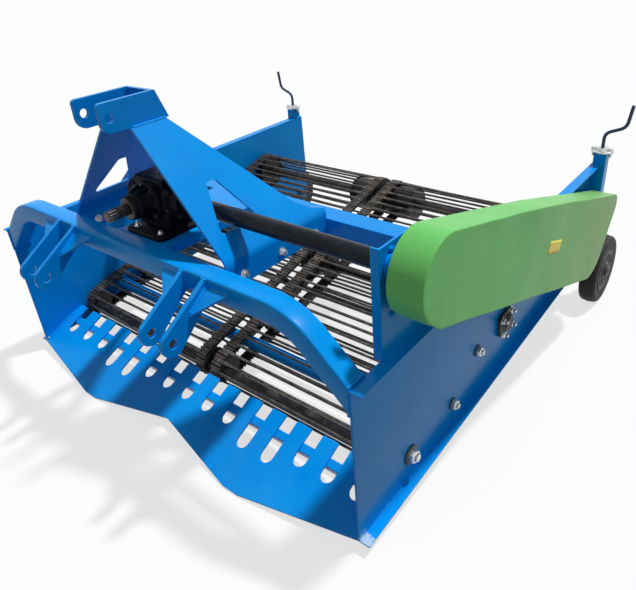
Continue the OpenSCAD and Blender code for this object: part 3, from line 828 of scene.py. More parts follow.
def barShape(start, end, flatten, rows, radius):
    # a bar along x; over the length flatten at each end it is pressed flat and lifted
    x = np.concatenate([[start], np.linspace(start, end, rows), [end]])[:, None]
    pressed = x * 0
    if flatten:
        pressed = np.clip(3 * (1 - np.minimum(x - start, end - x) / flatten), 0, 1)
    girth = np.ones((len(x), 1))
    girth[[0, -1]] = 0.0
    turn = np.linspace(0, 2 * np.pi, 8, endpoint=False)
    out = radius * (1 - 0.5 * pressed) * np.cos(turn) * girth + 0.003 * pressed
    ahead = radius * (1 + 0.7 * pressed) * np.sin(turn) * girth
    points = np.stack([np.repeat(x, 8, 1), out, ahead], -1)
    bend = np.sin(np.pi * (points[..., 0] - start) / (end - start))
    flat, faces = gridShape(points, closeColumns=True)
    return flat, faces, bend.reshape(-1)


def addConveyor(side):
    # rods at every pitch of the loop, two cleats on each belt between them, and rivets over the rods
    low, high = levelBox("web_right")
    inner, outer = low[0], high[0]
    belt, thick = conveyor["beltWide"], conveyor["beltThick"]
    circles = loopCircles()
    rods = round(loopLength(circles) / conveyor["pitch"])
    stations = loopStations(circles, rods * 3)
    atRods = [part[::3] for part in stations]
    between = [np.concatenate([part[1::3], part[2::3]]) for part in stations]
    random = np.random.default_rng(conveyor["seeds"][side])

    inset, radius = conveyor["rodInset"], conveyor["rodRadius"]
    rod, rodFaces, bend = barShape(inner + inset, outer - inset, conveyor["rodFlat"], 25, radius)
    local = np.repeat(rod[None], rods, 0)
    local[..., 1] += conveyor["bow"] * random.standard_normal((rods, 1)) * bend
    bars = [repeated(alongLoop(local, atRods), rodFaces)]
    inset, radius = conveyor["cleatInset"], conveyor["cleatRadius"]
    belts = []
    profile = np.insert(roundedRectangle(belt, thick, conveyor["beltCorner"], 3), 2, 0.0, axis=1)
    for start in (inner, outer - belt):
        cleat, cleatFaces, bend = barShape(start + inset, start + belt - inset, 0.0, 4, radius)
        bars.append(repeated(alongLoop(cleat + (0, conveyor["cleatLift"], 0), between), cleatFaces))
        section = profile + (start + belt / 2, -thick / 2, 0)
        belts.append(gridShape(alongLoop(section, stations), closeRows=True, closeColumns=True))
    dome, domeFaces = spinShape(conveyor["rivet"], (0, 0, 0), (0, 1, 0), 8)
    near, far = conveyor["rivetInset"]
    rivets = [repeated(alongLoop(dome + (x, conveyor["rivetLift"], 0), atRods), domeFaces)
              for x in (inner + near, inner + far, outer - near, outer - far)]
    name = "web_" + side
    makePiece(name + "_rods", onSide(joinShapes(*bars), side), rodSteel, nodes=(name,), sharp=60)
    makePiece(name + "_belts", onSide(joinShapes(*belts), side), beltRubber)
    makePiece(name + "_rivets", onSide(joinShapes(*rivets), side), rodSteel)


for side in ("left", "right"):
    addConveyor(side)
print("conveyor ready")

# Rollers: each axle carries ribbed rollers under the belts of both loops
rollers = {
    "rim": 0.008,  # width of the raised rims
    "groove": 0.005,  # depth between them
    "clearance": 0.002,
    "driveWide": 0.15,  # the drums beside the middle of the rear shaft
    "driveAxle": 0.020,
    "axles": (("upper_idlers", 0.0095), ("return_idlers", 0.0095), ("agitator", 0.0175)),
    "frontTube": 0.0225,  # radius of the tube at the front
    "frontStub": 0.015,
}


def rollerSections(start, end, radius):
    # a rim, the groove and the other rim
    rim, groove = rollers["rim"], rollers["groove"]
    return [(start, start + rim, radius), (start + rim, end - rim, radius - groove), (end - rim, end, radius)]


def addRollers(node, centre, axle, roller, innerWide):
    # an axle that ends where the node ends, with an inner and an outer roller in each loop
    low, high = levelBox("web_right")
    inner, outer = low[0], high[0]
    belt = conveyor["beltWide"]
    half = [(0.0, inner, axle)]
    half += rollerSections(inner, inner + innerWide, roller)
    half += [(inner + innerWide, outer - belt, axle)]
    half += rollerSections(outer - belt, outer, roller)
    low, high = levelBox(node)
    left = half + [(outer, -low[0], axle)]
    right = half + [(outer, high[0], axle)]
    sections = [(-end, -start, radius) for start, end, radius in left[::-1]] + right
    makePiece(node + "_dressed", latheShape(sections, centre), blackPaint, nodes=(node,))


def addFrontRoll():
    # a tube from plate to plate, a shoe behind it under each belt, and a stub axle through each plate
    low, high = levelBox("web_right")
    inner, outer = low[0], high[0]
    belt = conveyor["beltWide"]
    tubeAt, shoeAt = [(0, *circle[:2]) for circle in conveyor["front"]]
    shoe = conveyor["front"][1][2] - conveyor["beltThick"]
    low, high = levelBox("loop_tube")
    tube = latheShape([(low[0], high[0], rollers["frontTube"])], tubeAt, chamfer=0.002)
    shapes = [latheShape(rollerSections(start, start + belt, shoe), shoeAt, chamfer=0.002)
              for start in (inner, outer - belt)]
    stub = [(outer - belt / 2, levelBox("front_roll")[1][0], rollers["frontStub"])]
    shapes.append(latheShape(stub, frontAxle, 32, chamfer=0.002))
    whole = joinShapes(tube, bothSides(joinShapes(*shapes)))
    makePiece("front_roll_dressed", whole, blackPaint, nodes=("front_roll",))


def addAllRollers():
    # each roller reaches from its axle to the inside of the belt that runs nearest
    addFrontRoll()
    rods = 2 * conveyor["rodRadius"] + rollers["clearance"]
    drum = levelBox("web_right")[1][1] - rearAxle[1] - rods
    addRollers("drive_shaft", rearAxle, rollers["driveAxle"], drum, rollers["driveWide"])
    loop = hullOutline(loopCircles(), 2000)
    for node, axle in rollers["axles"]:
        centre = middleOf(node)
        reach = np.linalg.norm(loop - centre[1:], axis=1).min() - conveyor["beltThick"]
        addRollers(node, centre, axle, max(reach, axle + rollers["clearance"]), conveyor["beltWide"])


loopTube = {"place": (0.0, 0.375, 0.1215), "chamfer": 0.001}


def addLoopTube():
    # a plain tube of the drawn length and radius
    low, high = levelBox("loop_tube")
    sections = [(low[0], high[0], (high[2] - low[2]) / 2)]
    shape = latheShape(sections, loopTube["place"], 40, loopTube["chamfer"])
    makePiece("loop_tube_dressed", shape, bluePaint, nodes=("loop_tube",))


addAllRollers()
addLoopTube()
print("rollers ready")

# Drive cover: a dented sheet box with rounded edges
cover = {
    "wall": 0.003,
    "fillet": 0.0025,
    "circles": (  # offsets from the upper or lower shaft, and radius
        ("upper", 0.045, -0.023, 0.110),
        ("upper", 0.021, -0.133, 0.012),
        ("lower", -0.565, 0.332, 0.040),
        ("lower", 0.035, -0.014, 0.146),
        ("lower", 0.227, 0.076, 0.046),
    ),
    "dents": (  # y, z, depth, reach
        (0.42, 0.77, 0.004, 0.05),
        (0.62, 0.72, 0.005, 0.08),
        (1.05, 0.60, 0.004, 0.07),
        (0.80, 0.43, 0.004, 0.09),
        (1.30, 0.30, 0.003, 0.08),
        (0.35, 0.62, 0.003, 0.06),
    ),
}
upperShaft = middleOf("shaft_bearing")


def coverOutline(count):
    # a band pulled round circles set off from the two shafts, and the mean of their middles
    base = {"upper": upperShaft, "lower": rearAxle}
    circles = [(base[end][1] + y, base[end][2] + z, radius) for end, y, z, radius in cover["circles"]]
    return hullOutline(circles, count), np.mean([circle[:2] for circle in circles], axis=0)


def dentDepth(flat, dent):
    # a bell of the dent's depth and reach round its middle
    y, z, deep, reach = dent
    away = (flat[..., 0] - y) ** 2 + (flat[..., 1] - z) ** 2
    return deep * np.exp(-away / (2 * reach ** 2))


def addCover():
    # rows run from the middle of the face out to its edge, round the fillet, down the rim and back inside
    low, high = levelBox("drive_cover")
    loop, centre = coverOutline(420)
    outward = loopDirections(loop)[0]
    fillet, wall = cover["fillet"], cover["wall"]
    turn = np.linspace(0, np.pi / 2, 5)
    rim = np.linspace(high[0] - fillet, low[0], 6)
    inset = np.concatenate([fillet * (1 - np.sin(turn)), rim[1:] * 0, [wall, wall]])
    depth = np.concatenate([high[0] - fillet * (1 - np.cos(turn)), rim[1:], [low[0], high[0] - wall]])
    ring = loop - inset[:, None, None] * outward
    face = centre + (ring[0] - centre) * np.linspace(0, 1, 46)[:-1, None, None]
    back = centre + (ring[-1] - centre) * np.linspace(1, 0, 20)[1:, None, None]
    flat = np.concatenate([face, ring, back])
    x = np.concatenate([np.full(len(face), high[0]), depth, np.full(len(back), high[0] - wall)])
    x = np.repeat(x[:, None], len(loop), 1)
    for dent in cover["dents"]:
        onFace = x > high[0] - 2 * fillet
        x = x - onFace * dentDepth(flat, dent)
    points = np.concatenate([x[..., None], flat], -1)
    makePiece("drive_cover_dressed", gridShape(points, closeColumns=True), greenPaint,
              nodes=("drive_cover",), sharp=50)


addCover()
print("cover ready")


def prismShape(outline, low, high, lay, chamfer=0.001):
    # an outline raised from low to high with its edges taken off; lay names the three numbers that it fills
    middle = outline.mean(0)
    small = 1 - chamfer / np.abs(outline - middle).max()
    level = np.array([low, low, low + chamfer, high - chamfer, high, high])
    share = np.array([0.0, small, 1.0, 1.0, small, 0.0])
    points = np.empty((6, len(outline), 3))
    points[..., list(lay[:2])] = middle + (outline - middle) * share[:, None, None]
    points[..., lay[2]] = level[:, None]
    return gridShape(points, closeColumns=True)


# Gearbox: a cast body with a round bearing carrier in front, a foot and two side caps
gearbox = {
    "halfWide": 0.070,
    "halfLong": 0.060,
    "front": 0.126,
    "top": 0.850,
    "boxiness": 0.12,
    "carrier": ((0.0, 0.062), (0.014, 0.062), (0.017, 0.059), (0.018, 0.047), (0.021, 0.043), (0.058, 0.041),
                (0.061, 0.040), (0.062, 0.038), (0.065, 0.036), (0.078, 0.036), (0.081, 0.033)),
    "ribs": 8,
    "rib": (0.016, 0.056),  # from and to, ahead of the body
    "ribHeights": (0.036, 0.056, 0.046),  # of its foot, its back and its front
    "ribHalf": 0.004,
    "carrierBolts": 8,
    "carrierBolt": 0.009,
    "carrierFace": 0.017,
    "boltRing": 0.053,
    "foot": (0.180, 0.206, 0.014),
    "footCorner": 0.022,
    "footMiddle": 0.174,
    "footBolts": (0.056, 0.076),  # to either side and to front and rear of the foot's middle
    "footBolt": (0.0095, 0.005),  # size, and how far the thread stands out
    "cap": ((0.0, 0.058), (0.010, 0.058), (0.014, 0.053), (0.017, 0.045), (0.049, 0.042)),
    "capBolts": 6,
    "capBolt": 0.008,
    "capBoltRing": 0.050,
    "plug": 0.014,
    "seal": ((0.0, 0.032), (0.002, 0.032), (0.0035, 0.029), (0.0015, 0.021)),  # distance ahead, radius
}


def bulgedBox(half, centre, power):
    # latitude and longitude on a box-like ball: sines and cosines raised to a small power
    latitude = np.linspace(-np.pi / 2, np.pi / 2, 33)[:, None]
    longitude = np.linspace(0, 2 * np.pi, 64, endpoint=False)[None]
    waves = [np.cos(latitude), np.sin(latitude), np.cos(longitude), np.sin(longitude)]
    cosLat, sinLat, cosLong, sinLong = [np.sign(wave) * np.abs(wave) ** power for wave in waves]
    x = half[0] * cosLat * cosLong
    y = half[1] * cosLat * sinLong
    z = half[2] * sinLat + 0 * longitude
    return gridShape(np.stack([x, y, z], -1) + centre, closeColumns=True)


def ringPlaces(centre, radius, count, axis, start=0.0):
    # equal steps round a circle square to the axis
    first, second = axisFrame(axis)[:2]
    turn = start + np.arange(count)[:, None] * 2 * np.pi / count
    return np.array(centre) + radius * (np.cos(turn) * first + np.sin(turn) * second)


def addGearbox():
    # a box-like ball, a turned carrier with ribs, a foot and two turned caps, then bolts and the seal
    base = levelBox("gearbox")[0][2]
    shaftY, shaftZ = upperShaft[1:]
    front, top, halfWide = gearbox["front"], gearbox["top"], gearbox["halfWide"]
    middleY = front + gearbox["halfLong"]
    ahead = (0, -1, 0)
    bodyHalf = (halfWide, gearbox["halfLong"], (top - base) / 2)
    body = bulgedBox(bodyHalf, (0, middleY, (base + top) / 2), gearbox["boxiness"])
    carrier = spinShape(gearbox["carrier"], (0, front, shaftZ), ahead, 56)
    wide, long, thick = gearbox["foot"]
    foot = roundedRectangle(wide, long, gearbox["footCorner"]) + (0, gearbox["footMiddle"])
    foot = prismShape(foot, base, base + thick, (0, 1, 2), 0.003)
    cap = spinShape(gearbox["cap"], (halfWide, shaftY, shaftZ), (1, 0, 0), 48)
    near, far = [front - away for away in gearbox["rib"]]
    inside, tall, short = gearbox["ribHeights"]
    rib = np.array([(near, inside), (far, inside), (far, short), (near, tall)])
    rib = prismShape(rib, -gearbox["ribHalf"], gearbox["ribHalf"], (1, 2, 0))
    ribs = copiesRound(rib, gearbox["ribs"], 0.5, shaftZ)
    makePiece("gearbox_dressed", joinShapes(body, carrier, foot, bothSides(cap), ribs), blackCasting,
              nodes=("gearbox",), sharp=50)

    carrierFace = (0, front - gearbox["carrierFace"], shaftZ)
    places = ringPlaces(carrierFace, gearbox["boltRing"], gearbox["carrierBolts"], ahead)
    carrierBolts = copiesAt(boltShape(gearbox["carrierBolt"]), places, ahead)
    plug = copiesAt(boltShape(gearbox["plug"]), [(0.0, middleY, top - 0.002)])
    capFace = (halfWide + gearbox["cap"][1][0], shaftY, shaftZ)
    places = ringPlaces(capFace, gearbox["capBoltRing"], gearbox["capBolts"], (1, 0, 0), 0.3)
    capBolts = bothSides(copiesAt(boltShape(gearbox["capBolt"]), places, (1, 0, 0)))
    makePiece("gearbox_carrier_bolts", joinShapes(carrierBolts, plug, capBolts), blackPaint)
    boltX, boltY = gearbox["footBolts"]
    footX = np.array([-1, 1, -1, 1]) * boltX
    footY = gearbox["footMiddle"] + np.array([-1, -1, 1, 1]) * boltY
    places = np.stack([footX, footY, footX * 0 + base + thick], -1)
    makePiece("gearbox_foot_bolts", copiesAt(boltShape(*gearbox["footBolt"]), places), zinc)
    carrierEnd = front - gearbox["carrier"][-1][0] + 0.0005
    makePiece("gearbox_seal", spinShape(gearbox["seal"], (0, carrierEnd, shaftZ), ahead, 48), stubSteel)


# Input stub: twelve splines, bright where the coupling rubs
inputStub = {
    "splines": 12,
    "tip": 0.0175,
    "root": 0.0152,
    "splineEnd": 0.014,
    "neck": 0.0158,
    "collar": 0.0172,
    "back": 0.015,
    "crest": ((0.004, 0.0011), (0.030, 0.0007)),  # from the stub's end, and half its width there
    "crestLift": 0.0002,
}


def addInputStub():
    # the radius of a ring is a cut-off cosine wave over the splines, then plain over neck and collar
    low, high = levelBox("input_shaft")
    tip, root, splines = inputStub["tip"], inputStub["root"], inputStub["splines"]
    turn = np.linspace(0, 2 * np.pi, 96, endpoint=False)
    spline = root + (tip - root) * np.clip(0.5 + 2.0 * np.cos(splines * turn), 0, 1)
    neck, collar, back = [np.full(len(turn), inputStub[part]) for part in ("neck", "collar", "back")]
    start, end = low[1], inputStub["splineEnd"]
    along = [start, start + 0.003, end, end + 0.003, end + 0.008, end + 0.009, end + 0.019, high[1]]
    rows = [spline * 0.9, spline, spline, neck, neck, collar, collar, back]
    shape = ringShape(np.array(along), np.array(rows), (0, 0, upperShaft[2]), (0, 1, 0))
    makePiece("input_shaft_dressed", shape, stubSteel, body="input", nodes=("input_shaft",), sharp=30)
    # the crests of the splines are rubbed bright
    (first, wide), (last, slim) = inputStub["crest"]
    crest = [(start + first, -wide), (start + last, -slim), (start + last, slim), (start + first, wide)]
    crest = prismShape(np.array(crest), tip - 0.001, tip + inputStub["crestLift"], (1, 0, 2), 0.0003)
    makePiece("input_spline_crests", copiesRound(crest, splines, 0, upperShaft[2]), zinc, body="input")


crossShaft = {
    "tubeCollar": (0.012, 0.006),  # length, and how far it stands out
    "bearingFlange": 0.010,
    "flangeShare": 0.8,  # of the drawn bearing's radius
    "housingShare": 0.68,
    "towerBolts": ((0.176, 0.815), (0.170, 0.788), (0.170, 0.718), (0.176, 0.640)),  # y and z
    "towerBolt": 0.0085,
}


def addShafts():
    # plain turned pieces on the upper shaft, and the bolts of its tower
    low, high = levelBox("shaft_tube")
    radius = (high[2] - low[2]) / 2
    long, step = crossShaft["tubeCollar"]
    sections = [(low[0], low[0] + long, radius + step), (low[0] + long, high[0], radius)]
    makePiece("shaft_tube_dressed", latheShape(sections, upperShaft), tubePaint, nodes=("shaft_tube",))
    low, high = levelBox("cross_shaft")
    sections = [(low[0], high[0], (high[2] - low[2]) / 2)]
    makePiece("cross_shaft_dressed", latheShape(sections, upperShaft, 40), chainSteel, nodes=("cross_shaft",))
    low, high = levelBox("shaft_bearing")
    radius = (high[2] - low[2]) / 2
    step = low[0] + crossShaft["bearingFlange"]
    sections = [(low[0], step, radius * crossShaft["flangeShare"])]
    sections += [(step, high[0], radius * crossShaft["housingShare"])]
    housing = latheShape(sections, upperShaft, chamfer=0.002)
    makePiece("shaft_bearing_dressed", housing, bluePaint, nodes=("shaft_bearing",))
    places = np.insert(np.array(crossShaft["towerBolts"]), 0, levelBox("bearing_tower")[1][0], axis=1)
    makePiece("tower_bolts", copiesAt(boltShape(crossShaft["towerBolt"]), places, (1, 0, 0)), bluePaint)


addGearbox()
addInputStub()
addShafts()
print("gearbox and shafts ready")

# Chain drive inside the cover
chainDrive = {
    "pitch": 0.0254,
    "pin": (0.0048, 0.010),  # radius and half length
    "plate": 0.0115,  # height
    "plateHalf": 0.0013,  # half its thickness
    "plates": (0.0075, 0.0045),  # how far from the middle the outer and the inner links have theirs
    "clearance": 0.004,
    "tooth": 0.009,
    "toothHalf": 0.004,
    "hub": 0.034,
    "hubBehind": 0.01,
    "bore": 0.0176,
}


def addSprocket(node, centre):
    # a hub with a thin disc at its middle, its edge waved into teeth
    low, high = levelBox(node)
    outer = (high[2] - low[2]) / 2
    teeth = round(2 * np.pi * (outer - chainDrive["clearance"]) / chainDrive["pitch"])
    turn = np.linspace(0, 2 * np.pi, teeth * 10, endpoint=False)
    rim = outer - chainDrive["tooth"] * (1 - np.clip(0.5 + 0.8 * np.cos(teeth * turn), 0, 1))
    hub = np.full(len(turn), min(chainDrive["hub"], outer * 0.7))
    bore = np.full(len(turn), chainDrive["bore"])
    middle = (low[0] + high[0]) / 2
    back, front = middle - chainDrive["toothHalf"], middle + chainDrive["toothHalf"]
    behind = low[0] - chainDrive["hubBehind"]
    along = np.array([behind, behind, back, back, front, front, high[0], high[0]])
    rows = np.array([bore, hub, hub, rim, rim, hub, hub, bore])
    shape = ringShape(along, rows, (0, centre[1], centre[2]), (1, 0, 0))
    makePiece(node + "_dressed", shape, chainSteel, nodes=(node,), sharp=30)


def chainCircle(node, centre):
    # the chain runs a little outside the drawn sprocket
    low, high = levelBox(node)
    return centre[1], centre[2], (high[2] - low[2]) / 2 + chainDrive["clearance"]


def addChain():
    # pins at every pitch, and pairs of plates that lie further out on every other link
    middle = middleOf("drive_chain")[0]
    circles = [chainCircle("upper_sprocket", upperShaft), chainCircle("lower_sprocket", rearAxle)]
    length = loopLength(circles)
    links = 2 * round(length / chainDrive["pitch"] / 2)
    stations = loopStations(circles, links * 2)
    radius, half = chainDrive["pin"]
    pin, pinFaces, bend = barShape(middle - half, middle + half, 0.0, 3, radius)
    shapes = [repeated(alongLoop(pin, [part[::2] for part in stations]), pinFaces)]
    half = length / links / 2
    rounding = chainDrive["plate"] / 2
    outline = hullOutline([(0, -half, rounding), (0, half, rounding)], 20)
    for start, reach in zip((1, 3), chainDrive["plates"]):
        places = [part[start::4] for part in stations]
        for x in (middle - reach, middle + reach):
            low, high = x - chainDrive["plateHalf"], x + chainDrive["plateHalf"]
            plate, plateFaces = prismShape(outline, low, high, (1, 2, 0), 0.0005)
            shapes.append(repeated(alongLoop(plate, places), plateFaces))
    makePiece("drive_chain_dressed", joinShapes(*shapes), chainSteel, nodes=("drive_chain",))


addSprocket("upper_sprocket", upperShaft)
addSprocket("lower_sprocket", rearAxle)
addChain()
softCopy("cover_studs", zinc, width=0.001)
print("chain drive ready")

# Bearings and nuts on the side plates
plateBearing = {
    "flange": 0.092,
    "corner": 0.018,
    "thick": 0.014,
    "boss": 0.033,
    "reach": 0.026,
    "bolt": (0.012, 0.010),  # size, and how far the thread stands out
    "boltInset": 0.014,
}
runTurn = math.atan2(rearAxle[2] - frontAxle[2], rearAxle[1] - frontAxle[1])
plateOut = levelBox("bearing_tower")[1][0]


def addPlateBearings():
    # square flanges set along the run of the conveyor, each with a turned boss and a bolt in every corner
    castings, bolts = [], []
    turn = np.array([[math.cos(runTurn), math.sin(runTurn)], [-math.sin(runTurn), math.cos(runTurn)]])
    flange, thick, boss, reach = [plateBearing[part] for part in ("flange", "thick", "boss", "reach")]
    outline = roundedRectangle(flange, flange, plateBearing["corner"]) @ turn
    profile = [(0.0, boss + 0.008), (thick, boss + 0.006), (thick + 0.004, boss)]
    profile += [(reach - 0.003, boss - 0.002), (reach, boss - 0.006), (reach - 0.003, boss - 0.012)]
    away = flange / 2 - plateBearing["boltInset"]
    corners = np.array([(1, 1), (1, -1), (-1, -1), (-1, 1)]) * away @ turn
    for centre in (middleOf("agitator"), rearAxle):
        castings.append(prismShape(outline + centre[1:], plateOut, plateOut + thick, (1, 2, 0), 0.003))
        castings.append(spinShape(profile, (plateOut, centre[1], centre[2]), (1, 0, 0), 40))
        places = np.insert(corners + centre[1:], 0, plateOut + thick, axis=1)
        bolts.append(copiesAt(boltShape(*plateBearing["bolt"]), places, (1, 0, 0)))
    makePiece("plate_bearings_dressed", bothSides(joinShapes(*castings)), darkCasting,
              nodes=("plate_bearings",))
    makePiece("plate_bearing_bolts", bothSides(joinShapes(*bolts)), zinc)


axleNuts = {
    "sizes": {"front_roll": (0.024, 0.032), "return_idlers": (0.019, 0.021), "upper_idlers": (0.019, 0.021)},
    "thread": 0.006,
    "washerThick": 0.005,
    "washerHole": 0.010,
}


def addAxleNuts():
    # a hexagon of the first size on a round washer of the second
    washers, nuts = [], []
    thick = axleNuts["washerThick"]
    for node, (size, washer) in axleNuts["sizes"].items():
        place = middleOf(node) * (0, 1, 1) + (plateOut, 0, 0)
        profile = [(0, washer), (thick - 0.001, washer), (thick, washer - 0.001)]
        profile += [(thick, axleNuts["washerHole"])]
        washers.append(spinShape(profile, place, (1, 0, 0)))
        nuts.append(copiesAt(boltShape(size, axleNuts["thread"], False), [place + (thick, 0, 0)], (1, 0, 0)))
    makePiece("axle_washers", bothSides(joinShapes(*washers)), darkCasting)
    makePiece("axle_nuts", bothSides(joinShapes(*nuts)), zinc)


addPlateBearings()
addAxleNuts()
print("bearings ready")

# Jack heads and cranks
jack = {
    "flange": 0.042,
    "flangeThick": 0.007,
    "collar": 0.024,
    "bolt": 0.010,
    "boltInset": 0.008,
    "boltHangs": 0.012,
    "crank": 0.007,
    "crankRises": (0.080, 0.112),  # where the slanting part of the crank starts and ends
    "bend": 0.024,
    "lean": 0.006,
    "handleLean": 0.012,
}


def addJacks():
    # turned heads with a hanging bolt on either side, and cranks that step outwards
    low, high = levelBox("jack_heads")
    legX, legY = middleOf("guide_right")[:2]
    tall = high[2] - low[2]
    wide, thick, collar = jack["flange"], jack["flangeThick"], jack["collar"]
    profile = [(0, wide - 0.002), (0.001, wide), (thick - 0.001, wide), (thick, wide - 0.002)]
    profile += [(thick, collar + 0.001), (tall - 0.004, collar), (tall - 0.001, collar - 0.002)]
    profile += [(tall, collar - 0.006)]
    foot = low[2] + rear["guideRise"]
    head = spinShape(profile, (legX, legY, foot), (0, 0, 1), 40)
    away = wide - jack["boltInset"]
    places = np.array([(legX - away, legY, foot), (legX + away, legY, foot)])
    hanging = copiesAt(boltShape(jack["bolt"], jack["boltHangs"]), places, (0, 0, -1))
    top = copiesAt(boltShape(jack["bolt"]), places + (0, 0, thick), (0, 0, 1))
    makePiece("jack_heads_dressed", bothSides(joinShapes(head, hanging, top)), zinc, nodes=("jack_heads",))
    low, high = levelBox("crank_right")
    handle = high[0] - jack["crank"] - jack["lean"]
    lower, upper = [low[2] + rise for rise in jack["crankRises"]]
    route = np.array([(legX, low[2]), (legX, lower), (handle - jack["handleLean"], upper), (handle, high[2])])
    route = smoothPath(np.insert(route, 1, legY, axis=1), jack["bend"])
    crank = sweepShape(route, circleProfile(jack["crank"], 16), (0, 1, 0))
    for side in ("right", "left"):
        makePiece("crank_" + side + "_dressed", onSide(crank, side), darkBlue, nodes=("crank_" + side,))


addJacks()
print("jacks ready")

# Wheels: a smooth solid tyre on a pressed steel disc
wheel = {
    "shoulder": 0.016,
    "crown": 0.003,
    "beadInset": 0.006,
    "disc": ((0.0, 0.030), (0.0, 0.036), (-0.006, 0.041), (-0.010, 0.052), (-0.008, 0.070), (-0.003, 0.080),
             (-0.001, 0.086), (-0.003, 0.092)),  # distance past the tyre's face, radius
}
axleCap = {
    "profile": ((0, 0.0265), (0.0073, 0.0265), (0.0078, 0.024)),  # distance along, radius
    "sink": 0.007,  # how far it starts inside the end of the axle
    "nut": 0.016,
    "nutAt": 0.001,
}


def addWheel(side):
    # half a tyre's profile, from bead over shoulder to crown, mirrored; the disc is the same on both faces
    low, high = levelBox("tyre_right")
    middle = middleOf("tyre_right")
    axle = middle * (0, 1, 1)
    outer = (high[2] - low[2]) / 2
    depth, reach = np.array(wheel["disc"]).T
    turn = np.linspace(np.pi / 2, 0, 7)
    shoulder = wheel["shoulder"]
    x = np.append(low[0] + wheel["beadInset"], low[0] + shoulder * (1 - np.sin(turn)))
    radius = np.append(reach[-1], outer - wheel["crown"] - shoulder * (1 - np.cos(turn)))
    x = np.concatenate([x, middle[:1], 2 * middle[0] - x[::-1]])
    radius = np.concatenate([radius, [outer], radius[::-1]])
    tyre = spinShape(np.stack([x, radius], -1), axle, (1, 0, 0), 72)
    faceX = np.concatenate([low[0] - depth, high[0] + depth[::-1]])
    faceR = np.concatenate([reach, reach[::-1]])
    disc = spinShape(np.stack([faceX, faceR], -1), axle, (1, 0, 0), 72)
    for name, shape, material in (("tyre_", tyre, tyreRubber), ("hub_", disc, wheelGrey)):
        node = name + side
        makePiece(node + "_dressed", onSide(shape, side), material, body="wheel_" + side, nodes=(node,))


def addAxleCap(side):
    # washer and hexagon over the end of the stub axle, on the leg
    place = middleOf("tyre_right") * (0, 1, 1) + (levelBox("leg_right")[1][0] - axleCap["sink"], 0, 0)
    cap = spinShape(axleCap["profile"], place, (1, 0, 0), 40)
    nut = copiesAt(boltShape(axleCap["nut"], 0.0, False), [place + (axleCap["nutAt"], 0, 0)], (1, 0, 0))
    makePiece("axle_cap_" + side, onSide(joinShapes(cap, nut), side), wheelGrey, body="leg_" + side)


for side in ("left", "right"):
    addWheel(side)
    addAxleCap(side)
print("wheels ready")

# Mast bolts and the blank label
mastBolts = {
    "places": ((0.129, 0.636), (0.285, 0.634), (0.438, 0.630)),  # y and z
    "size": 0.0125,
    "thread": 0.006,
    "barThick": 0.012,
}
label = {
    "middle": (0.933, 0.516),
    "along": (0.94, -0.34),
    "up": (0.40, 0.92),
    "wide": 0.118,
    "high": 0.042,
    "lift": 0.0006,
    "thick": 0.0005,
}


def addMastBolts():
    # heads on the outside of the mast's feet, nuts on the inside of the flat bars
    out = levelBox("mast_plate_right")[1][0]
    inside = levelBox("frame_rails")[1][0] - mastBolts["barThick"]
    heads = np.array([(out, y, z) for y, z in mastBolts["places"]])
    shape = boltShape(mastBolts["size"], mastBolts["thread"])
    nuts = copiesAt(shape, heads * (0, 1, 1) + (inside, 0, 0), (-1, 0, 0))
    makePiece("mast_bolts", bothSides(joinShapes(copiesAt(shape, heads, (1, 0, 0)), nuts)), zinc)


def addLabel():
    # a flat grid on the face of the cover that follows its dents
    u, v = np.meshgrid(np.linspace(-0.5, 0.5, 12), np.linspace(-0.5, 0.5, 6), indexing="ij")
    along = np.array(label["along"]) * label["wide"]
    up = np.array(label["up"]) * label["high"]
    flat = np.array(label["middle"]) + u[..., None] * along + v[..., None] * up
    x = np.full(u.shape, levelBox("drive_cover")[1][0] + label["lift"])
    for dent in cover["dents"]:
        x = x - dentDepth(flat, dent)
    piece = makePiece("blank_label", gridShape(np.concatenate([x[..., None], flat], -1)), yellowLabel)
    film = piece.modifiers.new("filmThickness", "SOLIDIFY")
    film.thickness = label["thick"]


addMastBolts()
addLabel()
print("fasteners ready")

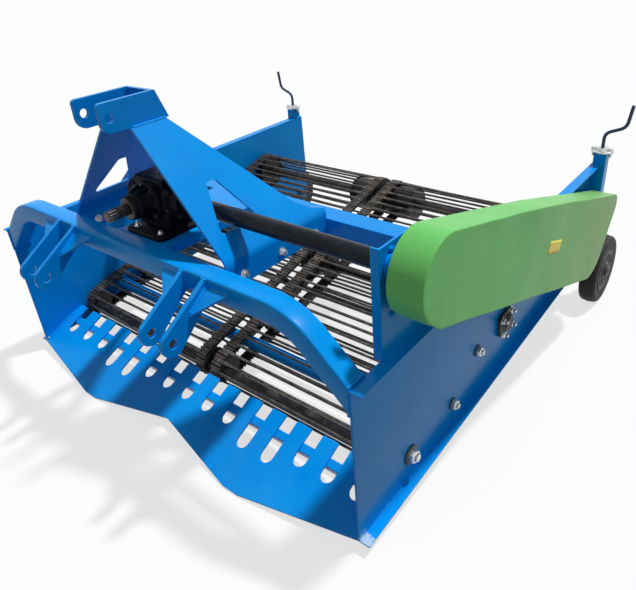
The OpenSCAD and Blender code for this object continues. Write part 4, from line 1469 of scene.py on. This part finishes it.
# Weld beads where plates and tubes meet; each is a path in the level frame, mirrored to the other side
welds = {
    "bead": 0.0042,
    "inset": 0.002,  # how far a bead's middle lies off the plate
    "clevis": (0.066, 0.078, 0.190, 1.0205),  # x, from and to in y, z
    "lugFaces": (0.263, 0.277, 0.353, 0.367),
    "lugLength": 0.062,
    "gusset": 0.076,  # length down the lug's side
    "gussetThick": 0.008,
    "barLegs": (0.447, 0.532),  # from and to in z
    "beamLegs": (0.416, 0.538),
    "shovel": (0.006, 0.150, 0.0098),  # from and to in y, and the plate's thickness
    "tower": (0.140, 0.470),
}


def addWelds():
    # straight runs along the edges where pieces touch
    low, high = levelBox("hitch_bar")
    beamY = levelBox("cross_beam")[0][1]
    plateIn, plateTop = high[0], levelBox("side_plate_right")[1][2]
    x, front, back, z = welds["clevis"]
    paths = [[(x, front, z), (x, back, z)]]
    foot, top = welds["barLegs"]
    x = plateIn - welds["inset"]
    paths.append([(x, low[1], foot), (x, low[1], top), (x, high[1], top), (x, high[1], foot)])
    foot, top = welds["beamLegs"]
    paths.append([(x, beamY, foot), (x, beamY, top)])
    front, back, thick = welds["shovel"]
    slope = math.tan(shovel["slope"])
    paths.append([(x, front, front * slope + thick), (x, back, back * slope + thick)])
    front, back = welds["tower"]
    x = plateOut + welds["inset"]
    paths.append([(x, front, plateTop), (x, back, plateTop)])
    baseX, baseZ = levelBox("gearbox_base")[1][[0, 2]]
    paths.append([(0.0, high[1], baseZ), (baseX, high[1], baseZ)])
    for x in welds["lugFaces"]:
        paths.append([(x, low[1], high[2] - welds["lugLength"]), (x, low[1], high[2] - welds["inset"])])
    pin = toLevel(np.array(mountOf["lower_links"]["pos_m"]))
    root = np.array([0.0, 0.0, high[2] - (high[1] - low[1]) / 2])
    along = unit(pin - root)
    root = root + welds["gussetThick"] * np.array([0.0, along[2], -along[1]])
    for x in (welds["lugFaces"][0], welds["lugFaces"][-1]):
        paths.append([root + (x, 0, 0), root + (x, 0, 0) + welds["gusset"] * along])
    beads = [beadShape(path, welds["bead"]) for path in paths]
    makePiece("weld_beads", bothSides(joinShapes(*beads)), bluePaint, sharp=60)


addWelds()
print("welds ready")
